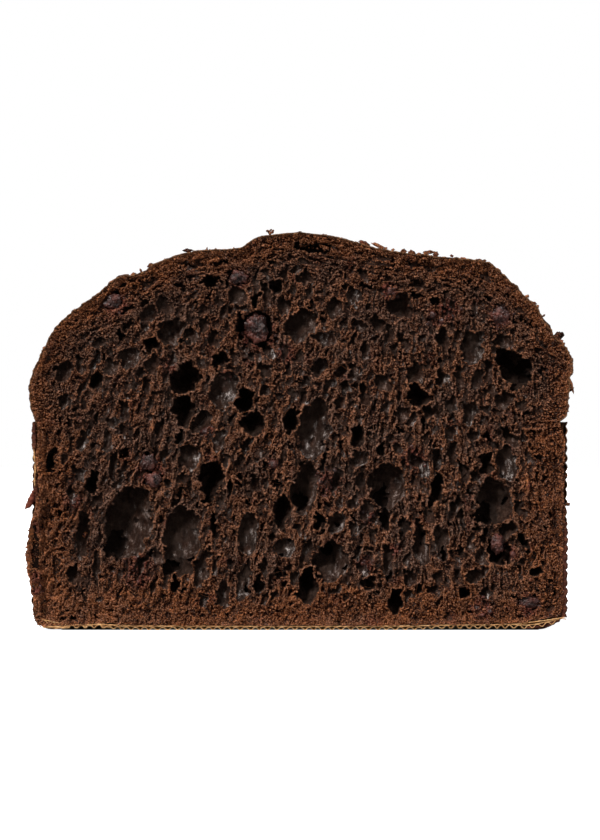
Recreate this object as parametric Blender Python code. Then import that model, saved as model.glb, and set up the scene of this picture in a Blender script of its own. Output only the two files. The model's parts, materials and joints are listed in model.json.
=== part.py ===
"""Half of a chocolate panettone, cut down its middle, in its low corrugated paper case.

Metres, +Z up. The cut face looks along -Y and the loaf's own axis lies in that face.
The origin is on the ground, in the middle of the footprint.
"""

import math

import bmesh
import bpy
from mathutils import Matrix, Vector, noise

MM = 0.001

# The loaf, as (radius, height) in millimetres from the top of the dome down to where the case begins.
CRUST_LEFT = [
    (0.0, 139.4), (12.3, 138.3), (17.5, 136.2), (22.0, 133.9), (37.5, 133.2), (50.0, 128.7),
    (62.7, 124.3), (71.0, 117.9), (83.7, 108.2), (90.0, 98.5), (94.6, 88.0), (95.0, 81.0), (91.4, 74.6),
]
CRUST_RIGHT = [
    (0.0, 139.4), (13.0, 137.8), (29.8, 133.4), (50.8, 130.8), (63.4, 129.5), (68.5, 127.2),
    (76.0, 120.2), (83.0, 113.0), (88.6, 103.8), (94.6, 97.6), (95.7, 91.0), (94.2, 79.5), (91.4, 74.6),
]
# The same below the case's top edge, down to the loaf's foot.
LOAF_FOOT = [(91.6, 71.0), (91.3, 45.0), (91.3, 11.0), (89.8, 6.2), (86.0, 3.6), (79.0, 1.95), (0.0, 1.95)]
DOME_RINGS = 19
DOME_UNEVEN = 1.3
TURNS = 22
LOAF_DEPTH = 95.4
CUT_Y = -LOAF_DEPTH / 2

# The paper case. Its wall's flutes run round it and its base's flutes run front to back.
CASE_TOP = 73.0
CASE_INSIDE = 92.0
CASE_VALLEY = 92.95
CASE_CREST = 93.9
WALL_PITCH = 3.0
FLUTE_FLAT = 1.1
CORNER = 4.9
CORNER_STEPS = 4
LIP_END = 86.0
LIP_THICK = 1.15
CASE_BULGE = 1.9
BULGE_HEIGHT = 25.0
BULGE_REACH = 13.0

BASE_PITCH = 3.2
BASE_FLAT = 0.9
WAVE_HEIGHT = 1.2
BASE_THICK = 1.65
BASE_RADIUS = 90.8
BASE_FLAT_RADIUS = 79.0
BASE_RIM_RISE = 2.6

# The largest cells of the crumb, as x, z, width, height and lean in degrees to the right.
CELLS = [
    (-60.0, 37.6, 17.0, 26.0, 8), (-41.5, 32.0, 14.0, 25.0, 2), (5.5, 71.0, 12.5, 22.0, 6),
    (2.9, 50.0, 12.0, 18.5, 4), (30.8, 45.0, 12.0, 25.0, 6), (69.5, 48.0, 12.0, 17.0, -14),
    (73.8, 90.8, 13.0, 15.0, -20), (-40.0, 88.4, 9.5, 12.6, 18), (-40.6, 76.0, 7.5, 12.0, 4),
    (-31.5, 52.0, 8.0, 15.5, 4), (0.2, 106.9, 10.5, 14.5, 28), (41.7, 82.4, 8.4, 8.4, 0),
    (44.5, 30.0, 7.5, 17.0, 4), (11.2, 24.3, 12.0, 14.5, 0), (2.8, 15.9, 6.5, 13.5, 4),
    (-72.8, 51.5, 4.6, 10.5, 14),
]
CELL_DEPTH_SHARE = 0.42

# The pieces of chocolate that show at the cut, as x, z, width, height and lean.
CHOCOLATES = [
    (-14.9, 105.9, 9.8, 11.6, 10), (70.3, 110.2, 7.0, 8.2, -20), (-65.4, 115.4, 7.4, 6.6, 30),
    (-21.5, 123.8, 7.0, 4.8, 10), (-53.2, 58.8, 6.0, 6.8, 20), (-51.3, 52.6, 6.6, 5.4, -10),
    (69.2, 30.4, 5.2, 7.8, 0), (80.5, 9.9, 9.2, 5.0, -12),
]
CHOCOLATE_DEPTH_SHARE = 0.85
CHOCOLATE_SET_BACK = 0.4
CHOCOLATE_GAP = 0.35
POCKET_PROUD = 1.0

CRUMB_COLOUR = (0.050, 0.028, 0.017, 1.0)
CHOCOLATE_COLOUR = (0.060, 0.024, 0.018, 1.0)
WALL_COLOUR = (0.085, 0.024, 0.014, 1.0)
BASE_COLOUR = (0.46, 0.27, 0.11, 1.0)


def material(name, colour, roughness):
    """A plain finish for one piece."""
    made = bpy.data.materials.new(name)
    made.use_nodes = True
    made.diffuse_color = colour
    shader = made.node_tree.nodes["Principled BSDF"]
    shader.inputs["Base Color"].default_value = colour
    shader.inputs["Roughness"].default_value = roughness
    return made


def piece(name, bm, finish=None, smooth_below=None):
    """Turns a millimetre bmesh into a named object in metres."""
    bmesh.ops.recalc_face_normals(bm, faces=bm.faces)
    bm.transform(Matrix.Scale(MM, 4))
    mesh = bpy.data.meshes.new(name)
    bm.to_mesh(mesh)
    bm.free()
    made = bpy.data.objects.new(name, mesh)
    bpy.context.scene.collection.objects.link(made)
    if finish:
        mesh.materials.append(finish)
    if smooth_below:
        mesh.shade_smooth()
        mesh.set_sharp_from_angle(angle=smooth_below)
    return made


def curve_through(points, count):
    """Evenly spaced points on a smooth curve through the given ones."""
    ends = [points[0]] + list(points) + [points[-1]]
    fine = []
    for i in range(1, len(ends) - 2):
        before, start, end, after = (Vector(p) for p in ends[i - 1 : i + 3])
        for step in range(12):
            t = step / 12
            fine.append(0.5 * (2 * start + (end - before) * t
                               + (2 * before - 5 * start + 4 * end - after) * t ** 2
                               + (3 * start - before - 3 * end + after) * t ** 3))
    fine.append(Vector(points[-1]))
    lengths = [0.0]
    for a, b in zip(fine, fine[1:]):
        lengths.append(lengths[-1] + (b - a).length)
    chosen, at = [], 0
    for i in range(count):
        target = lengths[-1] * i / (count - 1)
        while at < len(fine) - 2 and lengths[at + 1] < target:
            at += 1
        share = (target - lengths[at]) / (lengths[at + 1] - lengths[at])
        chosen.append(fine[at].lerp(fine[at + 1], share))
    return chosen


def turn_angles():
    """Angles round the half loaf, from its right-hand cut edge to its left-hand one."""
    return [math.pi * i / TURNS for i in range(TURNS + 1)]


def at_turn(radius, height, angle):
    return (radius * math.cos(angle), CUT_Y + radius * math.sin(angle), height)


def loaf_outline(angle, left, right):
    """The loaf's outline at one angle: the two sides blended, with gentle unevenness on the dome."""
    share = 0.5 + 0.5 * math.cos(angle)
    outline = []
    for on_left, on_right in zip(left, right):
        radius, height = on_left.lerp(on_right, share)
        spot = Vector((2.2 * math.cos(angle), 2.2 * math.sin(angle), height / 22))
        uneven = DOME_UNEVEN * noise.noise(spot) * math.sin(angle)
        outline.append((radius + uneven * min(1, radius / 40), height + 0.8 * uneven))
    return outline + LOAF_FOOT


def half_loaf():
    """The body of the loaf, closed along the cut."""
    left = curve_through(CRUST_LEFT, DOME_RINGS)
    right = curve_through(CRUST_RIGHT, DOME_RINGS)
    left[-1] = right[-1] = Vector(CRUST_LEFT[-1])
    bm = bmesh.new()
    angles = turn_angles()
    outlines = [loaf_outline(angle, left, right) for angle in angles]
    top = bm.verts.new(at_turn(0, CRUST_LEFT[0][1], 0))
    foot = bm.verts.new(at_turn(0, LOAF_FOOT[-1][1], 0))
    rings = []
    for angle, outline in zip(angles, outlines):
        ring = [bm.verts.new(at_turn(radius, height, angle)) for radius, height in outline[1:-1]]
        rings.append([top] + ring + [foot])
    for here, there in zip(rings, rings[1:]):
        bm.faces.new((top, here[1], there[1]))
        bm.faces.new((foot, there[-2], here[-2]))
        for i in range(1, len(here) - 2):
            bm.faces.new((here[i], here[i + 1], there[i + 1], there[i]))
    bm.faces.new(rings[0] + rings[-1][-2:0:-1])
    return bm


def case_outline():
    """The case wall's section: liner, lip turned in under the loaf, and outer flutes."""
    section = [(CASE_INSIDE, CASE_TOP), (CASE_INSIDE, 40.0)]
    middle = CASE_CREST - CORNER
    for i in range(CORNER_STEPS + 1):
        turn = math.pi / 2 * i / CORNER_STEPS
        section.append((middle + (CASE_INSIDE - middle) * math.cos(turn),
                        CORNER - (CORNER - LIP_THICK) * math.sin(turn)))
    section += [(LIP_END, LIP_THICK), (LIP_END, 0.0)]
    for i in range(CORNER_STEPS + 1):
        turn = math.pi / 2 * (1 - i / CORNER_STEPS)
        section.append((middle + CORNER * math.cos(turn), CORNER - CORNER * math.sin(turn)))
    flutes = int((CASE_TOP - CORNER) / WALL_PITCH)
    for i in range(flutes):
        foot = CORNER + (i + 0.5) * WALL_PITCH
        crest = foot + WALL_PITCH / 2
        section.append((CASE_VALLEY, foot))
        section.append((CASE_CREST, crest - FLUTE_FLAT / 2))
        section.append((CASE_CREST, crest + FLUTE_FLAT / 2))
    section.append((CASE_VALLEY, CASE_TOP))
    return section


def bulge(angle, height):
    """How far the case's left side stands off the loaf."""
    side = max(0.0, -math.cos(angle)) ** 6
    return CASE_BULGE * side * math.exp(-((height - BULGE_HEIGHT) / BULGE_REACH) ** 2)


def case_wall():
    section = case_outline()
    bm = bmesh.new()
    rings = []
    for angle in turn_angles():
        ring = []
        for radius, height in section:
            ring.append(bm.verts.new(at_turn(radius + bulge(angle, height), height, angle)))
        rings.append(ring)
    for here, there in zip(rings, rings[1:]):
        for i in range(len(section)):
            after = (i + 1) % len(section)
            bm.faces.new((here[i], here[after], there[after], there[i]))
    bm.faces.new(rings[0])
    bm.faces.new(rings[-1][::-1])
    return bm


def base_column(x):
    """Where one line of the base bends: at the cut, at the foot of its rim and at its edge."""
    edge = math.sqrt(max(0.0, BASE_RADIUS ** 2 - x ** 2))
    fold = math.sqrt(max(0.0, BASE_FLAT_RADIUS ** 2 - x ** 2))
    return (0.0, max(fold, 0.4 * edge), edge)


def rim_rise(x, y):
    reach = math.hypot(x, y) - BASE_FLAT_RADIUS
    return max(0.0, reach / (BASE_RADIUS - BASE_FLAT_RADIUS) * BASE_RIM_RISE)


def case_base():
    """The base: a flat liner over flutes whose flat crests stand on the ground."""
    waves = int(BASE_RADIUS / BASE_PITCH)
    slope = (BASE_PITCH - 2 * BASE_FLAT) / 2
    line = []
    for i in range(-waves, waves + 1):
        middle = i * BASE_PITCH
        line += [(middle - BASE_FLAT / 2 - slope, WAVE_HEIGHT), (middle - BASE_FLAT / 2, 0.0),
                 (middle + BASE_FLAT / 2, 0.0), (middle + BASE_FLAT / 2 + slope, WAVE_HEIGHT)]
    line = [point for point in line if abs(point[0]) < BASE_RADIUS - 0.5]
    bm = bmesh.new()
    lower, upper = [], []
    for x, height in line:
        rows = [(x, CUT_Y + y, rim_rise(x, y)) for y in base_column(x)]
        lower.append([bm.verts.new((px, py, pz + height)) for px, py, pz in rows])
        upper.append([bm.verts.new((px, py, pz + BASE_THICK)) for px, py, pz in rows])
    for i in range(len(line) - 1):
        for row in range(2):
            bm.faces.new((lower[i][row], lower[i][row + 1], lower[i + 1][row + 1], lower[i + 1][row]))
            bm.faces.new((upper[i][row], upper[i + 1][row], upper[i + 1][row + 1], upper[i][row + 1]))
        for row in (0, 2):
            bm.faces.new((lower[i][row], lower[i + 1][row], upper[i + 1][row], upper[i][row]))
    for end in (0, -1):
        bm.faces.new(lower[end] + upper[end][::-1])
    return bm


def lump(x, z, width, height, lean, depth, y):
    """A rounded body with its middle at (x, y, z), leaning in the plane of the cut."""
    bm = bmesh.new()
    bmesh.ops.create_icosphere(bm, subdivisions=2, radius=1.0)
    place = (Matrix.Translation((x, y, z)) @ Matrix.Rotation(math.radians(lean), 4, "Y")
             @ Matrix.Diagonal((width / 2, depth / 2, height / 2, 1.0)))
    bm.transform(place)
    return bm


def chocolate_lump(x, z, width, height, lean, swell=0.0):
    """One piece of chocolate, uneven, just behind the cut. A swollen one is its pocket's shape."""
    depth = CHOCOLATE_DEPTH_SHARE * min(width, height)
    y = CUT_Y + CHOCOLATE_SET_BACK + depth / 2
    bm = lump(x, z, width + 2 * swell, height + 2 * swell, lean, depth + 2 * swell, y)
    for vert in bm.verts:
        uneven = 0.10 * noise.noise(vert.co.normalized() * 3 + Vector((x, 0, z)))
        vert.co += (vert.co - Vector((x, y, z))) * (uneven - 0.06 if swell == 0 else 0.05)
    return bm, y


def pocket(x, z, width, height, lean):
    """The hollow round a piece of chocolate, drawn forward through the cut face."""
    bm, y = chocolate_lump(x, z, width, height, lean, CHOCOLATE_GAP)
    for vert in bm.verts:
        if vert.co.y < y - 0.05:
            vert.co.y = CUT_Y - POCKET_PROUD
    return bm


def cutter(name, bm, group):
    made = piece(name, bm)
    made.hide_render = True
    made.display_type = "WIRE"
    bpy.context.scene.collection.objects.unlink(made)
    group.objects.link(made)


for old in list(bpy.data.objects):
    bpy.data.objects.remove(old)

crumb_finish = material("crumb", CRUMB_COLOUR, 0.85)
chocolate_finish = material("chocolate", CHOCOLATE_COLOUR, 0.35)
wall_finish = material("case_wall", WALL_COLOUR, 0.75)
base_finish = material("case_base", BASE_COLOUR, 0.8)

loaf = piece("crumb", half_loaf(), crumb_finish, math.radians(35))
hollows = bpy.data.collections.new("hollows")
bpy.context.scene.collection.children.link(hollows)
for number, (x, z, width, height, lean) in enumerate(CELLS, 1):
    depth = 2 * CELL_DEPTH_SHARE * min(width, height)
    cutter(f"cell_{number}", lump(x, z, width, height, lean, depth, CUT_Y), hollows)
for number, row in enumerate(CHOCOLATES, 1):
    cutter(f"pocket_{number}", pocket(*row), hollows)
    piece(f"chocolate_{number}", chocolate_lump(*row)[0], chocolate_finish, math.radians(40))
hollowing = loaf.modifiers.new("hollows", "BOOLEAN")
hollowing.operation = "DIFFERENCE"
hollowing.solver = "EXACT"
hollowing.operand_type = "COLLECTION"
hollowing.collection = hollows

piece("case_wall", case_wall(), wall_finish, math.radians(20))
piece("case_base", case_base(), base_finish, math.radians(20))
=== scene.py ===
"""The looks of half a chocolate panettone in its fluted paper case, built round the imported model.

Lengths in the tables and functions are millimetres; meshes are turned into metres as they are made.
The cut face lies in the plane y = CUT_Y and looks along -Y. A lean is in degrees, clockwise from the front.
"""

import json
import math

import bmesh
import bpy
import numpy as np
from mathutils import Matrix, Vector, noise

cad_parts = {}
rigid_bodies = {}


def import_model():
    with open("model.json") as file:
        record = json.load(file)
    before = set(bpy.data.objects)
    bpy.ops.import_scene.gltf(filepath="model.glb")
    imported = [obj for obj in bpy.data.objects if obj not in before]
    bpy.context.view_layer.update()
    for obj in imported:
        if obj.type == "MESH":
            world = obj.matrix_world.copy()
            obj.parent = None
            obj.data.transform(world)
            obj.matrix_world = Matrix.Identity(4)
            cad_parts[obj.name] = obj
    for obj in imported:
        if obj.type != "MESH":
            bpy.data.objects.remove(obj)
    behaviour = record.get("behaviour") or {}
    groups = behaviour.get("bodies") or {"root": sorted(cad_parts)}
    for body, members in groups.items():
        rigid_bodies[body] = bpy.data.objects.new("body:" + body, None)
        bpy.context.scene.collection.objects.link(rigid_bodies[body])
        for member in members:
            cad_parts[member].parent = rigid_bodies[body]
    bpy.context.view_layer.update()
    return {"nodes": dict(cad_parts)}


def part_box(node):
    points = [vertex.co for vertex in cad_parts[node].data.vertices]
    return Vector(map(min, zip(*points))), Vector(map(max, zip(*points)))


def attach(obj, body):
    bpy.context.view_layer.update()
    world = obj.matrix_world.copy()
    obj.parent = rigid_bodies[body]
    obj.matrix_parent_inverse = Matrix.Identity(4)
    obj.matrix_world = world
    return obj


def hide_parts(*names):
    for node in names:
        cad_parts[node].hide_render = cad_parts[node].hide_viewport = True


for old in list(bpy.data.objects):
    bpy.data.objects.remove(old)
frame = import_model()

MM = 0.001
CUT_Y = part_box("crumb")[0].y / MM
CASE_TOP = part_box("case_wall")[1].z / MM
CHOCOLATE_NODES = sorted(name for name in frame["nodes"] if name.startswith("chocolate_"))

# ---------------------------------------------------------------- the loaf's outline

# (radius, height) from the top of the dome down to where the case begins, on each side of the cut.
CRUST_LEFT = [
    (0.0, 139.4), (12.3, 138.3), (17.5, 136.2), (22.0, 133.9), (37.5, 132.8), (50.0, 128.9), (53.6, 126.6),
    (57.5, 124.7), (62.7, 124.2), (66.0, 122.4), (71.0, 118.0), (83.7, 108.2), (90.0, 98.5), (94.6, 88.0),
    (94.9, 82.0), (94.2, 77.5), (93.3, 74.8), (92.6, 72.9),
]
CRUST_RIGHT = [
    (0.0, 139.4), (13.0, 137.8), (29.8, 133.4), (50.8, 130.8), (63.4, 129.5), (68.5, 127.2), (76.0, 120.2),
    (83.0, 113.0), (88.6, 103.8), (94.4, 97.6), (95.7, 92.6), (95.4, 90.0), (94.4, 87.9), (94.3, 83.0),
    (94.1, 78.6), (93.6, 75.6), (92.6, 74.2), (91.3, 73.3),
]
# How the torn crumb bulges over the edge of the case, as x and height from the case's rim down.
CRUMB_LEFT = [
    (-92.4, 71.6), (-92.2, 66.7), (-92.9, 61.4), (-92.0, 53.4), (-91.7, 49.2), (-92.9, 45.7), (-93.1, 42.0),
    (-94.2, 38.7), (-95.4, 33.4), (-96.0, 29.0), (-96.2, 25.0), (-95.8, 21.0), (-94.9, 17.5), (-94.0, 14.2),
    (-93.6, 10.7), (-93.4, 7.2), (-93.2, 4.4), (-92.2, 2.1), (-90.2, 1.3), (-82.0, 1.7), (-70.0, 2.2),
    (-55.0, 1.7), (-40.0, 1.5), (-20.0, 1.5), (-0.5, 1.5),
]
CRUMB_RIGHT = [
    (91.6, 72.2), (92.3, 70.2), (92.8, 67.7), (93.1, 63.2), (92.9, 54.4), (92.7, 45.7), (93.3, 41.5),
    (92.6, 35.2), (92.2, 24.7), (92.3, 10.7), (91.9, 6.9), (90.6, 5.0), (85.7, 4.0), (80.5, 3.1),
    (75.0, 2.4), (60.0, 2.0), (40.0, 1.7), (20.0, 1.5), (0.0, 1.5),
]
LOAF_FOOT = [(91.6, 71.0), (91.3, 45.0), (91.3, 11.0), (89.8, 6.2), (86.0, 3.6), (79.0, 1.95)]
LOAF_BOTTOM = LOAF_FOOT[-1][1]
DOME_UNEVEN = 1.3
CRUST_THICK = 0.5
FOOT_SKIN_THICK = 0.12

# ---------------------------------------------------------------- the crumb's cells

# Rows are x, z, width, height and lean.
# Deep cells are painted black as shade, smooth ones dark grey with a little painted shade,
# and glossy ones get painted glints.
DEEP_CELLS = [
    (-31.5, 122.3, 9.0, 4.5, -10), (-27.5, 129.0, 7.4, 1.8, -4), (-25.7, 121.5, 2.4, 3.2, 0),
    (-24.2, 126.0, 3.9, 1.7, -8), (4.0, 134.2, 18.0, 2.5, 3), (-4.0, 137.5, 4.5, 1.0, 0),
    (11.0, 134.8, 8.5, 2.1, 8), (23.9, 121.0, 7.0, 2.4, 20), (29.8, 126.7, 2.8, 1.6, 20),
    (29.1, 121.0, 1.2, 1.5, 0), (41.6, 117.0, 4.2, 2.3, 20), (47.3, 114.8, 5.0, 2.3, 20),
    (44.5, 112.3, 1.4, 1.5, 0), (34.0, 110.6, 1.9, 1.2, 0), (66.0, 116.7, 4.0, 2.2, 10),
    (72.2, 116.6, 3.7, 1.8, 10), (75.5, 108.7, 1.7, 2.8, 0), (78.2, 109.0, 2.4, 1.5, 0),
    (81.0, 108.4, 2.5, 3.2, 0), (56.7, 118.3, 2.1, 1.8, 0), (54.8, 123.9, 2.4, 1.1, 0),
    (60.2, 109.7, 2.1, 1.5, 0), (75.6, 119.2, 2.2, 3.0, -45), (-54.3, 115.4, 4.4, 2.3, -30),
    (-20.9, 106.0, 4.2, 9.6, 0), (-42.4, 113.2, 1.3, 1.5, 0), (-63.3, 121.6, 4.8, 2.8, -25),
    (-78.5, 109.3, 2.2, 1.7, -30), (-36.0, 120.9, 1.5, 1.8, 0), (7.7, 127.6, 1.4, 1.1, 0),
    (-51.6, 100.3, 5.3, 5.6, 20), (-28.2, 94.3, 6.0, 6.3, 20), (-63.3, 103.4, 4.2, 4.2, 20),
    (-71.4, 88.0, 4.2, 7.0, 18), (41.7, 82.4, 8.4, 8.4, 10), (36.9, 97.0, 3.2, 2.4, 0),
    (49.5, 95.2, 3.2, 2.4, 0), (8.7, 92.6, 1.4, 1.4, 0), (-40.1, 88.4, 9.6, 12.6, 20),
    (75.4, 90.8, 9.8, 15.0, -30), (-19.4, 81.2, 7.6, 9.0, 10), (-40.3, 76.3, 8.4, 12.2, 5),
    (-87.3, 59.7, 4.2, 11.9, 12), (-61.1, 62.3, 3.2, 5.2, 20), (-81.2, 7.0, 3.5, 2.5, 0),
    (-43.6, 15.4, 3.2, 6.6, 0), (-29.9, 36.2, 3.2, 9.8, -5), (-25.7, 5.6, 3.2, 1.8, 0),
    (-46.5, 76.8, 1.4, 2.1, 0), (-13.9, 66.3, 1.2, 2.8, 0), (-10.2, 70.0, 1.3, 1.8, 0),
    (-12.2, 58.1, 2.2, 4.6, 0), (-24.3, 49.4, 2.5, 7.4, 8), (-21.6, 51.3, 2.5, 4.2, -15),
    (-20.6, 53.9, 2.6, 3.9, 15), (-8.5, 49.9, 2.7, 6.3, 5), (-18.0, 45.2, 1.8, 2.5, 30),
    (-6.5, 62.3, 1.2, 2.5, 0), (-2.4, 55.0, 1.2, 2.5, 0), (28.4, 64.4, 3.5, 5.2, 0),
    (17.0, 71.1, 2.5, 2.5, 0), (48.1, 49.2, 4.9, 14.0, 8), (-10.3, 32.4, 2.5, 3.5, 0),
    (-24.0, 34.1, 1.8, 2.1, 0), (-23.8, 29.0, 1.8, 2.5, 0), (-6.8, 19.3, 4.5, 3.2, 0),
    (58.3, 13.0, 4.5, 5.2, -20), (60.5, 5.8, 1.4, 2.6, -10), (75.3, 11.7, 3.5, 2.6, 0),
    (89.0, 13.3, 1.8, 3.9, 0), (88.2, 40.8, 2.8, 2.1, 0), (85.9, 36.2, 1.2, 3.2, 0),
    (81.6, 40.6, 1.4, 1.8, 0), (62.1, 35.9, 1.9, 2.8, 0), (50.2, 29.0, 2.0, 2.1, 0),
    (19.3, 39.0, 2.1, 1.4, 0), (-73.2, 51.5, 4.4, 10.2, 10), (-31.4, 52.1, 8.2, 15.5, 10),
    (-17.1, 72.7, 8.4, 9.4, 12), (-3.3, 73.7, 5.2, 11.0, 12), (-6.3, 41.5, 5.6, 15.0, 6),
    (20.2, 68.6, 5.4, 8.6, 8), (34.8, 69.9, 3.4, 2.5, 0), (65.8, 59.0, 4.9, 8.5, 0),
    (6.8, 38.0, 4.8, 7.4, 0), (2.8, 15.9, 7.0, 14.0, 5), (24.2, 17.0, 6.3, 4.2, 0),
    (33.3, 10.7, 5.4, 10.5, 20), (42.1, 14.6, 3.0, 7.5, 18), (69.8, 26.8, 9.0, 9.1, 0),
    (78.9, 30.5, 3.9, 6.8, -15), (83.0, 20.5, 4.4, 4.2, -30), (-90.2, 37.0, 1.4, 5.0, -10),
    (-91.6, 18.0, 0.9, 5.6, -12), (-90.6, 47.5, 1.1, 4.0, 0),
]
SMOOTH_CELLS = [
    (19.6, 133.0, 4.2, 1.8, 10), (33.6, 126.5, 3.5, 1.3, 0), (16.3, 120.7, 4.6, 3.8, 0),
    (35.0, 114.1, 10.5, 8.7, 20), (12.3, 113.1, 5.6, 8.0, 10), (23.3, 112.7, 4.5, 3.0, 0),
    (20.3, 106.7, 6.3, 4.5, 0), (8.2, 110.6, 2.5, 3.2, 0), (67.7, 106.0, 2.5, 1.8, 0),
    (-80.7, 108.0, 1.6, 1.7, 0), (-56.5, 108.7, 1.4, 2.1, 0), (0.2, 106.9, 10.3, 14.5, 28),
    (-12.2, 91.4, 5.6, 6.6, 10), (7.2, 91.9, 6.6, 7.0, 0), (-12.1, 83.6, 4.5, 6.0, 10),
    (-44.5, 104.8, 8.4, 9.8, 28), (-38.6, 103.3, 5.6, 6.0, 20), (-70.5, 100.1, 4.5, 6.0, 20),
    (-82.8, 90.1, 6.0, 9.0, 15), (-53.9, 85.0, 3.5, 6.6, 5), (23.1, 98.2, 4.2, 7.7, 10),
    (14.2, 90.5, 4.5, 5.0, 0), (71.8, 81.0, 8.6, 6.4, -10), (62.0, 54.3, 3.5, 6.0, 0),
    (-60.0, 37.6, 17.2, 26.6, 10), (-41.5, 31.5, 14.0, 25.5, 2), (1.8, 49.7, 10.3, 19.0, 8),
    (11.0, 24.0, 12.3, 15.4, 4), (-34.7, 21.9, 5.8, 16.1, 12), (-34.7, 73.0, 8.0, 10.8, 25),
    (-26.8, 12.6, 6.6, 10.2, 0), (-62.2, 76.7, 3.3, 8.0, 5), (-76.3, 33.3, 5.4, 17.9, 8),
    (-52.7, 74.8, 2.5, 4.4, 8), (-46.4, 66.9, 3.2, 3.9, 0), (-40.6, 53.2, 4.2, 3.9, 0),
    (-34.3, 64.8, 2.1, 2.5, 0), (20.2, 74.8, 2.9, 2.6, 0), (38.6, 70.4, 2.2, 2.5, 0),
    (25.6, 70.7, 2.2, 3.9, 0), (28.6, 74.0, 3.0, 1.8, 0), (-1.0, 35.6, 3.8, 6.0, -15),
    (-3.9, 22.2, 3.5, 2.8, 0), (30.6, 50.1, 13.0, 17.2, 6), (31.0, 24.6, 4.9, 12.0, -5),
    (42.4, 30.1, 6.1, 18.6, -5), (50.0, 30.8, 5.6, 13.7, -4), (25.9, 12.6, 3.5, 2.5, 0),
    (38.5, 12.8, 3.5, 5.6, 12), (24.5, 28.0, 3.5, 3.2, 0), (73.0, 35.0, 6.0, 6.4, 0),
    (63.6, 26.5, 4.6, 8.6, 0), (62.1, 19.4, 8.6, 6.0, -20), (68.1, 15.9, 2.5, 2.8, 0),
    (70.9, 73.7, 2.5, 3.5, 0), (-2.2, 18.4, 3.2, 6.8, 8), (68.3, 45.6, 12.6, 16.2, -20),
]
GLOSSY_CELLS = [
    (8.6, 102.4, 8.8, 6.4, 10), (-26.8, 83.8, 10.6, 13.3, 25), (-59.7, 95.6, 7.4, 8.8, 25),
    (18.9, 90.5, 4.2, 8.4, 0), (43.2, 101.9, 4.5, 3.9, 0), (60.7, 98.9, 8.8, 11.9, 10),
    (-75.7, 67.7, 4.4, 11.2, 14), (-67.6, 65.6, 4.2, 9.8, 10), (-38.7, 60.6, 8.2, 9.6, 8),
    (-29.2, 21.5, 3.2, 7.7, 10), (-34.0, 10.0, 4.5, 5.6, 0), (-46.2, 51.5, 3.7, 4.4, 0),
    (-28.4, 66.4, 5.0, 9.6, 20), (4.8, 70.4, 11.2, 22.6, 8), (20.6, 60.3, 6.2, 6.9, 10),
    (34.9, 63.6, 4.2, 5.6, 0), (59.6, 76.1, 6.2, 9.1, 5), (72.5, 58.6, 7.7, 12.3, -12),
    (46.6, 70.6, 2.8, 5.4, 0), (52.9, 68.5, 5.6, 6.1, 0), (61.6, 68.0, 4.9, 4.8, 0),
    (-5.4, 29.0, 7.2, 7.4, 8), (-18.2, 33.8, 7.6, 16.8, 6), (-19.4, 17.3, 4.5, 16.1, 6),
    (12.8, 38.0, 7.0, 9.8, 25), (13.0, 14.2, 4.2, 3.3, 0), (65.3, 12.6, 5.4, 4.6, -30),
]
# Holes that open inside larger cells, in the same form.
INNER_HOLES = [
    (71.2, 95.2, 7.2, 5.8, 10), (78.4, 90.6, 5.6, 9.0, -8), (-93.2, 26.6, 4.0, 9.2, 0),
    (-92.6, 33.6, 2.4, 6.0, -8), (-64.9, 30.2, 6.6, 11.4, 4), (-20.6, 78.6, 5.4, 4.8, 0),
    (-3.9, 31.3, 2.1, 1.4, 0), (-6.1, 25.9, 1.8, 1.4, 0), (43.1, 33.4, 2.1, 2.5, 0),
    (42.8, 30.2, 1.4, 1.2, 0), (-46.0, 22.0, 7.0, 5.0, 30), (30.0, 38.5, 5.0, 9.0, -6),
    (28.5, 47.0, 5.0, 9.0, 6), (64.4, 40.4, 6.0, 8.0, -20), (71.8, 45.0, 2.2, 3.0, 0),
    (-52.6, 26.6, 1.6, 2.6, 20), (-57.0, 38.4, 1.6, 0.9, -10), (9.0, 28.0, 4.0, 5.0, 0),
    (16.0, 22.0, 1.6, 2.0, 0), (0.0, 45.0, 4.0, 7.0, 8), (8.0, 66.0, 1.6, 0.9, -20),
    (-37.4, 24.6, 1.8, 2.8, 30), (-33.5, 48.0, 3.4, 5.0, 8), (13.6, 38.0, 1.6, 1.6, 0),
    (8.6, 37.2, 1.5, 1.5, 0), (-19.0, 14.0, 1.8, 5.0, 0), (31.4, 19.6, 2.0, 3.0, 0),
    (50.4, 27.0, 2.4, 4.4, 0),
]

# Softer shapes of the torn face: x, z, width, height, lean and how far the face goes back there.
SWELLS = [
    (-88.0, 30.0, 10.0, 60.0, 0, 1.6), (-76.0, 33.0, 7.0, 22.0, 10, 2.4), (-66.0, 116.0, 9.0, 8.0, 20, 1.2),
    (28.0, 62.0, 60.0, 70.0, 0, 0.9), (66.0, 40.0, 26.0, 34.0, -15, 1.6), (30.0, 46.0, 16.0, 26.0, 0, 1.6),
    (-15.0, 104.0, 16.0, 18.0, 20, 1.6), (72.0, 86.0, 18.0, 20.0, 0, 1.0),
    (-58.0, 34.0, 24.0, 34.0, 8, 0.8), (-50.0, 56.0, 14.0, 16.0, 0, 1.2),
    (-38.0, 82.0, 14.0, 24.0, 10, 1.0),
]
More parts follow.
